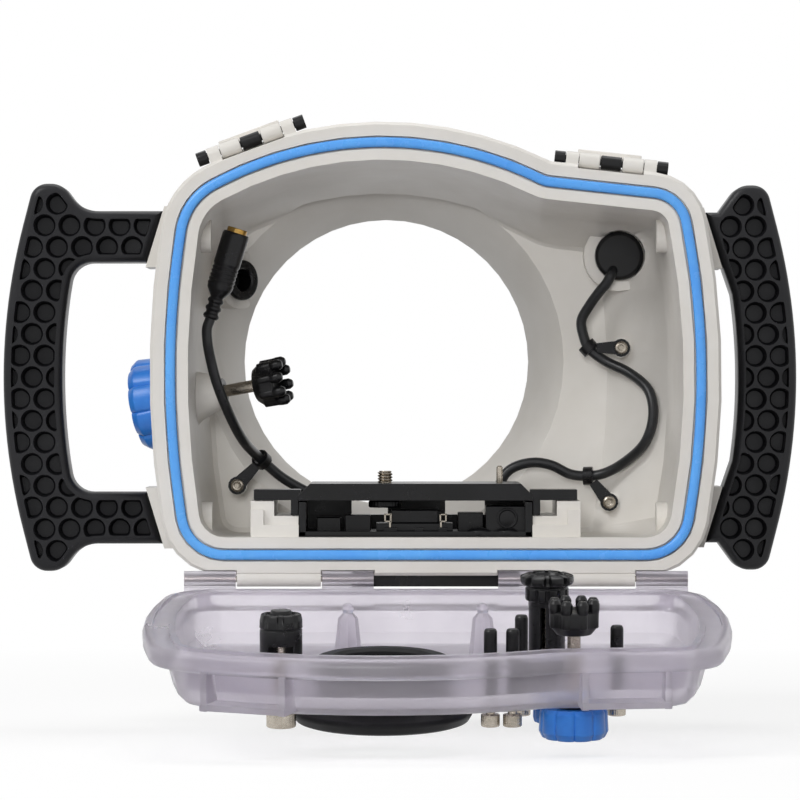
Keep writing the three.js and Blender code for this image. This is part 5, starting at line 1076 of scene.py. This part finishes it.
# Tray frame: an open box with gaps in its back. Boxes are a low and a high corner each
trayFrame = {
    "across": (-57.35, 40.35), "along": (-42, 20), "heights": (21, 35.3), "floor": 2, "side": 3, "back": 8,
    "sill": 6.4, "backDrop": 7, "backs": ((0, 21.6), (37.1, 61.7), (78.7, 97.7)), "edge": 0.25,
    "contact": [((-18.6, -30, 26.4), (0.9, -10, 31.6)), ((-25, -33, 23), (7.2, -10, 26.2)),
                ((-20, -10, 21), (3, -2, 31)), ((-22, -34, 22.6), (-16, -32.6, 24.6)),
                ((-9, -34, 22.6), (-5, -32.6, 24.6)), ((1, -34, 22.6), (5, -32.6, 24.6))],
    "beside": [((9.4, -26, 22.5), (20, -8, 30.6)), ((-38, -30, 22.5), (-27.4, -8, 29.6)),
               ((21, -36, 22.5), (37.6, -6, 33.4)), ((-50, -24, 22.5), (-40, -6, 28.4))],
    "windowPlace": (30, -36.2, 28.4), "domePlaces": ((18, -37, 22.9), (29.5, -37, 22.9)),
    "window": [(0, -3, 0), (4.4, -3, 0.3), (4.4, 0.4, 0.4), (3.6, 0.4, 0.2), (3.2, 0, 0.2), (0, 0.6, 0)],
    "dome": [(0, -1.5, 0), (5.2, -1.5, 0.3), (5.2, 0.2, 1), (3.4, 1.3, 1.5), (0, 1.7, 0)]}


def makeTrayFrame():
    tray = trayFrame
    (left, right), (rear, front), (base, top) = tray["across"], tray["along"], tray["heights"]
    inner = front - tray["back"]
    boxes = [((left, rear, base), (right, front, base + tray["floor"])),
             ((left, inner, base), (right, front, top - tray["sill"])),
             ((left, rear, base), (left + tray["side"], front, top)),
             ((right - tray["side"], rear, base), (right, front, top))]
    boxes += [((left + a, inner, top - tray["backDrop"]), (left + b, front, top)) for a, b in tray["backs"]]
    parts = [boxPart(low, high) for low, high in boxes + tray["contact"] + tray["beside"]]
    facing = Matrix.Translation(tray["windowPlace"]) @ Matrix.Rotation(math.pi, 4, "Z")
    parts.append(turned(tray["window"], facing, 48))
    parts += [turned(tray["dome"], upright(spot), 48, 5) for spot in tray["domePlaces"]]
    fresh("tray_frame", parts, "black", sharp=40, edge=tray["edge"])


# Two metal loops standing in front of the contact block, each with a leg down to the frame
contactFrame = {"loops": ((-20.1, 1), (3.1, -1)), "half": 1.45, "bar": 0.6, "depths": (-33.6, -32.8),
                "heights": (26.8, 30.2), "legShift": 0.9, "legHalf": 0.4, "leg": (23.4, 27), "edge": 0.12}


def makeContactFrame():
    half, bar, legHalf = [contactFrame[key] for key in ("half", "bar", "legHalf")]
    rear, front = contactFrame["depths"]
    low, high = contactFrame["heights"]
    parts = []
    for x, side in contactFrame["loops"]:
        left, right, leg = x - half, x + half, x + side * contactFrame["legShift"]
        bars = [(left, right, high - bar, high), (left, right, low, low + bar),
                (left, left + bar, low, high), (right - bar, right, low, high),
                (leg - legHalf, leg + legHalf, *contactFrame["leg"])]
        parts += [boxPart((a, rear, bottom), (b, front, top)) for a, b, bottom, top in bars]
    fresh("contact_frame", parts, "steel", sharp=40, edge=contactFrame["edge"])


makeTrayFrame()
makeContactFrame()
makeDials()
makeCrown()
makeButtons()
makeEyepiece()
makeWallControls()
makeCables()
makeConnector()
makeScrews()
print("controls, cables and screws made")


# The nodes that keep their CAD shape: their finish, the finish's slot, the width of their broken edges
carried = [
    ("shell", "shell", 0.35, ["body_shell"]),
    ("black", "black", 0.35, [
        "base_plate", "clip_left", "clip_upper", "clip_lower", "tray_plate", "latch_pin_left",
        "latch_pin_right", "latch_claw_left", "latch_claw_right", "dial_collar"]),
    ("steel", "steel", 0.35, [
        "plate_screw_rear", "plate_screw_front", "grip_screw_left_lower", "grip_screw_left_upper",
        "grip_screw_right_lower", "grip_screw_right_upper", "zoom_shaft", "dial_shaft", "menu_shaft"]),
    ("clear", "clear", 0, ["door_shell"]),
    ("window", "clear", 0.35, ["eyepiece_window"]),
    ("shell", "shell", 0.35, ["latch_lever_left", "latch_lever_right"]),
]
for look, slotName, edge, names in carried:
    for name in names:
        refined(name, look, edge)
print("CAD copies made")


# What the camera, a reflection or a clear piece sees directly, and not what lights the object
def seenDirectly(tree):
    path = node(tree, "LightPath").outputs
    through = maths(tree, "MAXIMUM", path["Is Glossy Ray"], path["Is Transmission Ray"])
    return maths(tree, "MAXIMUM", path["Is Camera Ray"], through)


# A pale floor that keeps the shadow near the object and fades to white away from it
floorLook = {"drop": 0.0615, "half": 6, "tones": (158, 164), "fibre": 60, "rough": 0.9, "shine": 0.1,
             "shadowEnd": 0.3, "whiteFrom": 0.75, "glow": 0.76, "shadow": 0.3}


def makeFloor():
    half, drop = floorLook["half"], floorLook["drop"]
    corners = [(-half, -half, -drop), (half, -half, -drop), (half, half, -drop), (-half, half, -drop)]
    mesh = bpy.data.meshes.new("floor")
    mesh.from_pydata(corners, [], [(0, 1, 2, 3)])
    floor = newObject("floor", mesh)
    material, tree, shader = newMaterial("floor_paper")
    where = node(tree, "TexCoord").outputs["Object"]
    first, second = [linear(tone, tone, tone) for tone in floorLook["tones"]]
    paper = mixColour(tree, noise(tree, where, floorLook["fibre"], 4), first, second)
    feed(tree, shader.inputs, {
        "Base Color": paper, "Roughness": floorLook["rough"], "Specular IOR Level": floorLook["shine"]})
    away = node(tree, "VectorMath", {"operation": "LENGTH"}, i0=where).outputs["Value"]
    far = remap(tree, away, floorLook["shadowEnd"], floorLook["whiteFrom"], 0, 1)
    glow = node(tree, "Emission", Color=(1, 1, 1, 1), Strength=floorLook["glow"]).outputs[0]
    shaded = node(tree, "BsdfDiffuse", Color=(*[floorLook["shadow"]] * 3, 1)).outputs[0]
    near = node(tree, "AddShader", i0=glow, i1=shaded).outputs[0]
    white = node(tree, "Emission", Color=(1, 1, 1, 1), Strength=1).outputs[0]
    ground = node(tree, "MixShader", i0=far, i1=near, i2=white).outputs[0]
    both = node(tree, "MixShader", i0=seenDirectly(tree), i1=shader.outputs[0], i2=ground).outputs[0]
    tree.links.new(both, tree.nodes["Material Output"].inputs["Surface"])
    floor.data.materials.append(material)


# White all round where it is seen, and a soft even light where it isn't
def makeWorld(level=0.14):
    world = bpy.data.worlds.new("studio")
    world.use_nodes = True
    tree = world.node_tree
    tree.nodes.clear()
    soft = node(tree, "Background", Color=(1, 1, 1, 1), Strength=level).outputs[0]
    white = node(tree, "Background", Color=(1, 1, 1, 1), Strength=1).outputs[0]
    both = node(tree, "MixShader", i0=seenDirectly(tree), i1=soft, i2=white).outputs[0]
    tree.links.new(both, node(tree, "OutputWorld").inputs["Surface"])
    scene.world = world


# Lamps: the front one lights the chamber, and is kept out of reflections for the sake of the black faces
lampAim = Vector((-0.015, -0.05, 0.07))
lamps = {
    "key": {"spot": (-1.4, -1.5, 1.6), "size": (1.2, 1), "power": 25, "reflected": True},
    "fill": {"spot": (1.3, -1.6, 0.9), "size": (1.2, 1.2), "power": 2, "reflected": True},
    "front": {"spot": (-0.3, -2.9, 0.5), "size": (0.7, 0.7), "power": 33, "reflected": False},
    "top": {"spot": (0.1, 0.3, 1.8), "size": (1.6, 1), "power": 12, "reflected": True},
}


def makeLamp(name, spot, size, power, reflected):
    lamp = bpy.data.lights.new(name, "AREA")
    lamp.shape = "RECTANGLE"
    lamp.size, lamp.size_y = size
    lamp.energy = power
    holder = newObject(name, lamp)
    holder.location = spot
    holder.rotation_euler = (lampAim - Vector(spot)).to_track_quat("-Z", "Y").to_euler()
    holder.visible_glossy = reflected


makeFloor()
makeWorld()
for name, lamp in lamps.items():
    makeLamp(name, **lamp)
print("stage and lamps made")
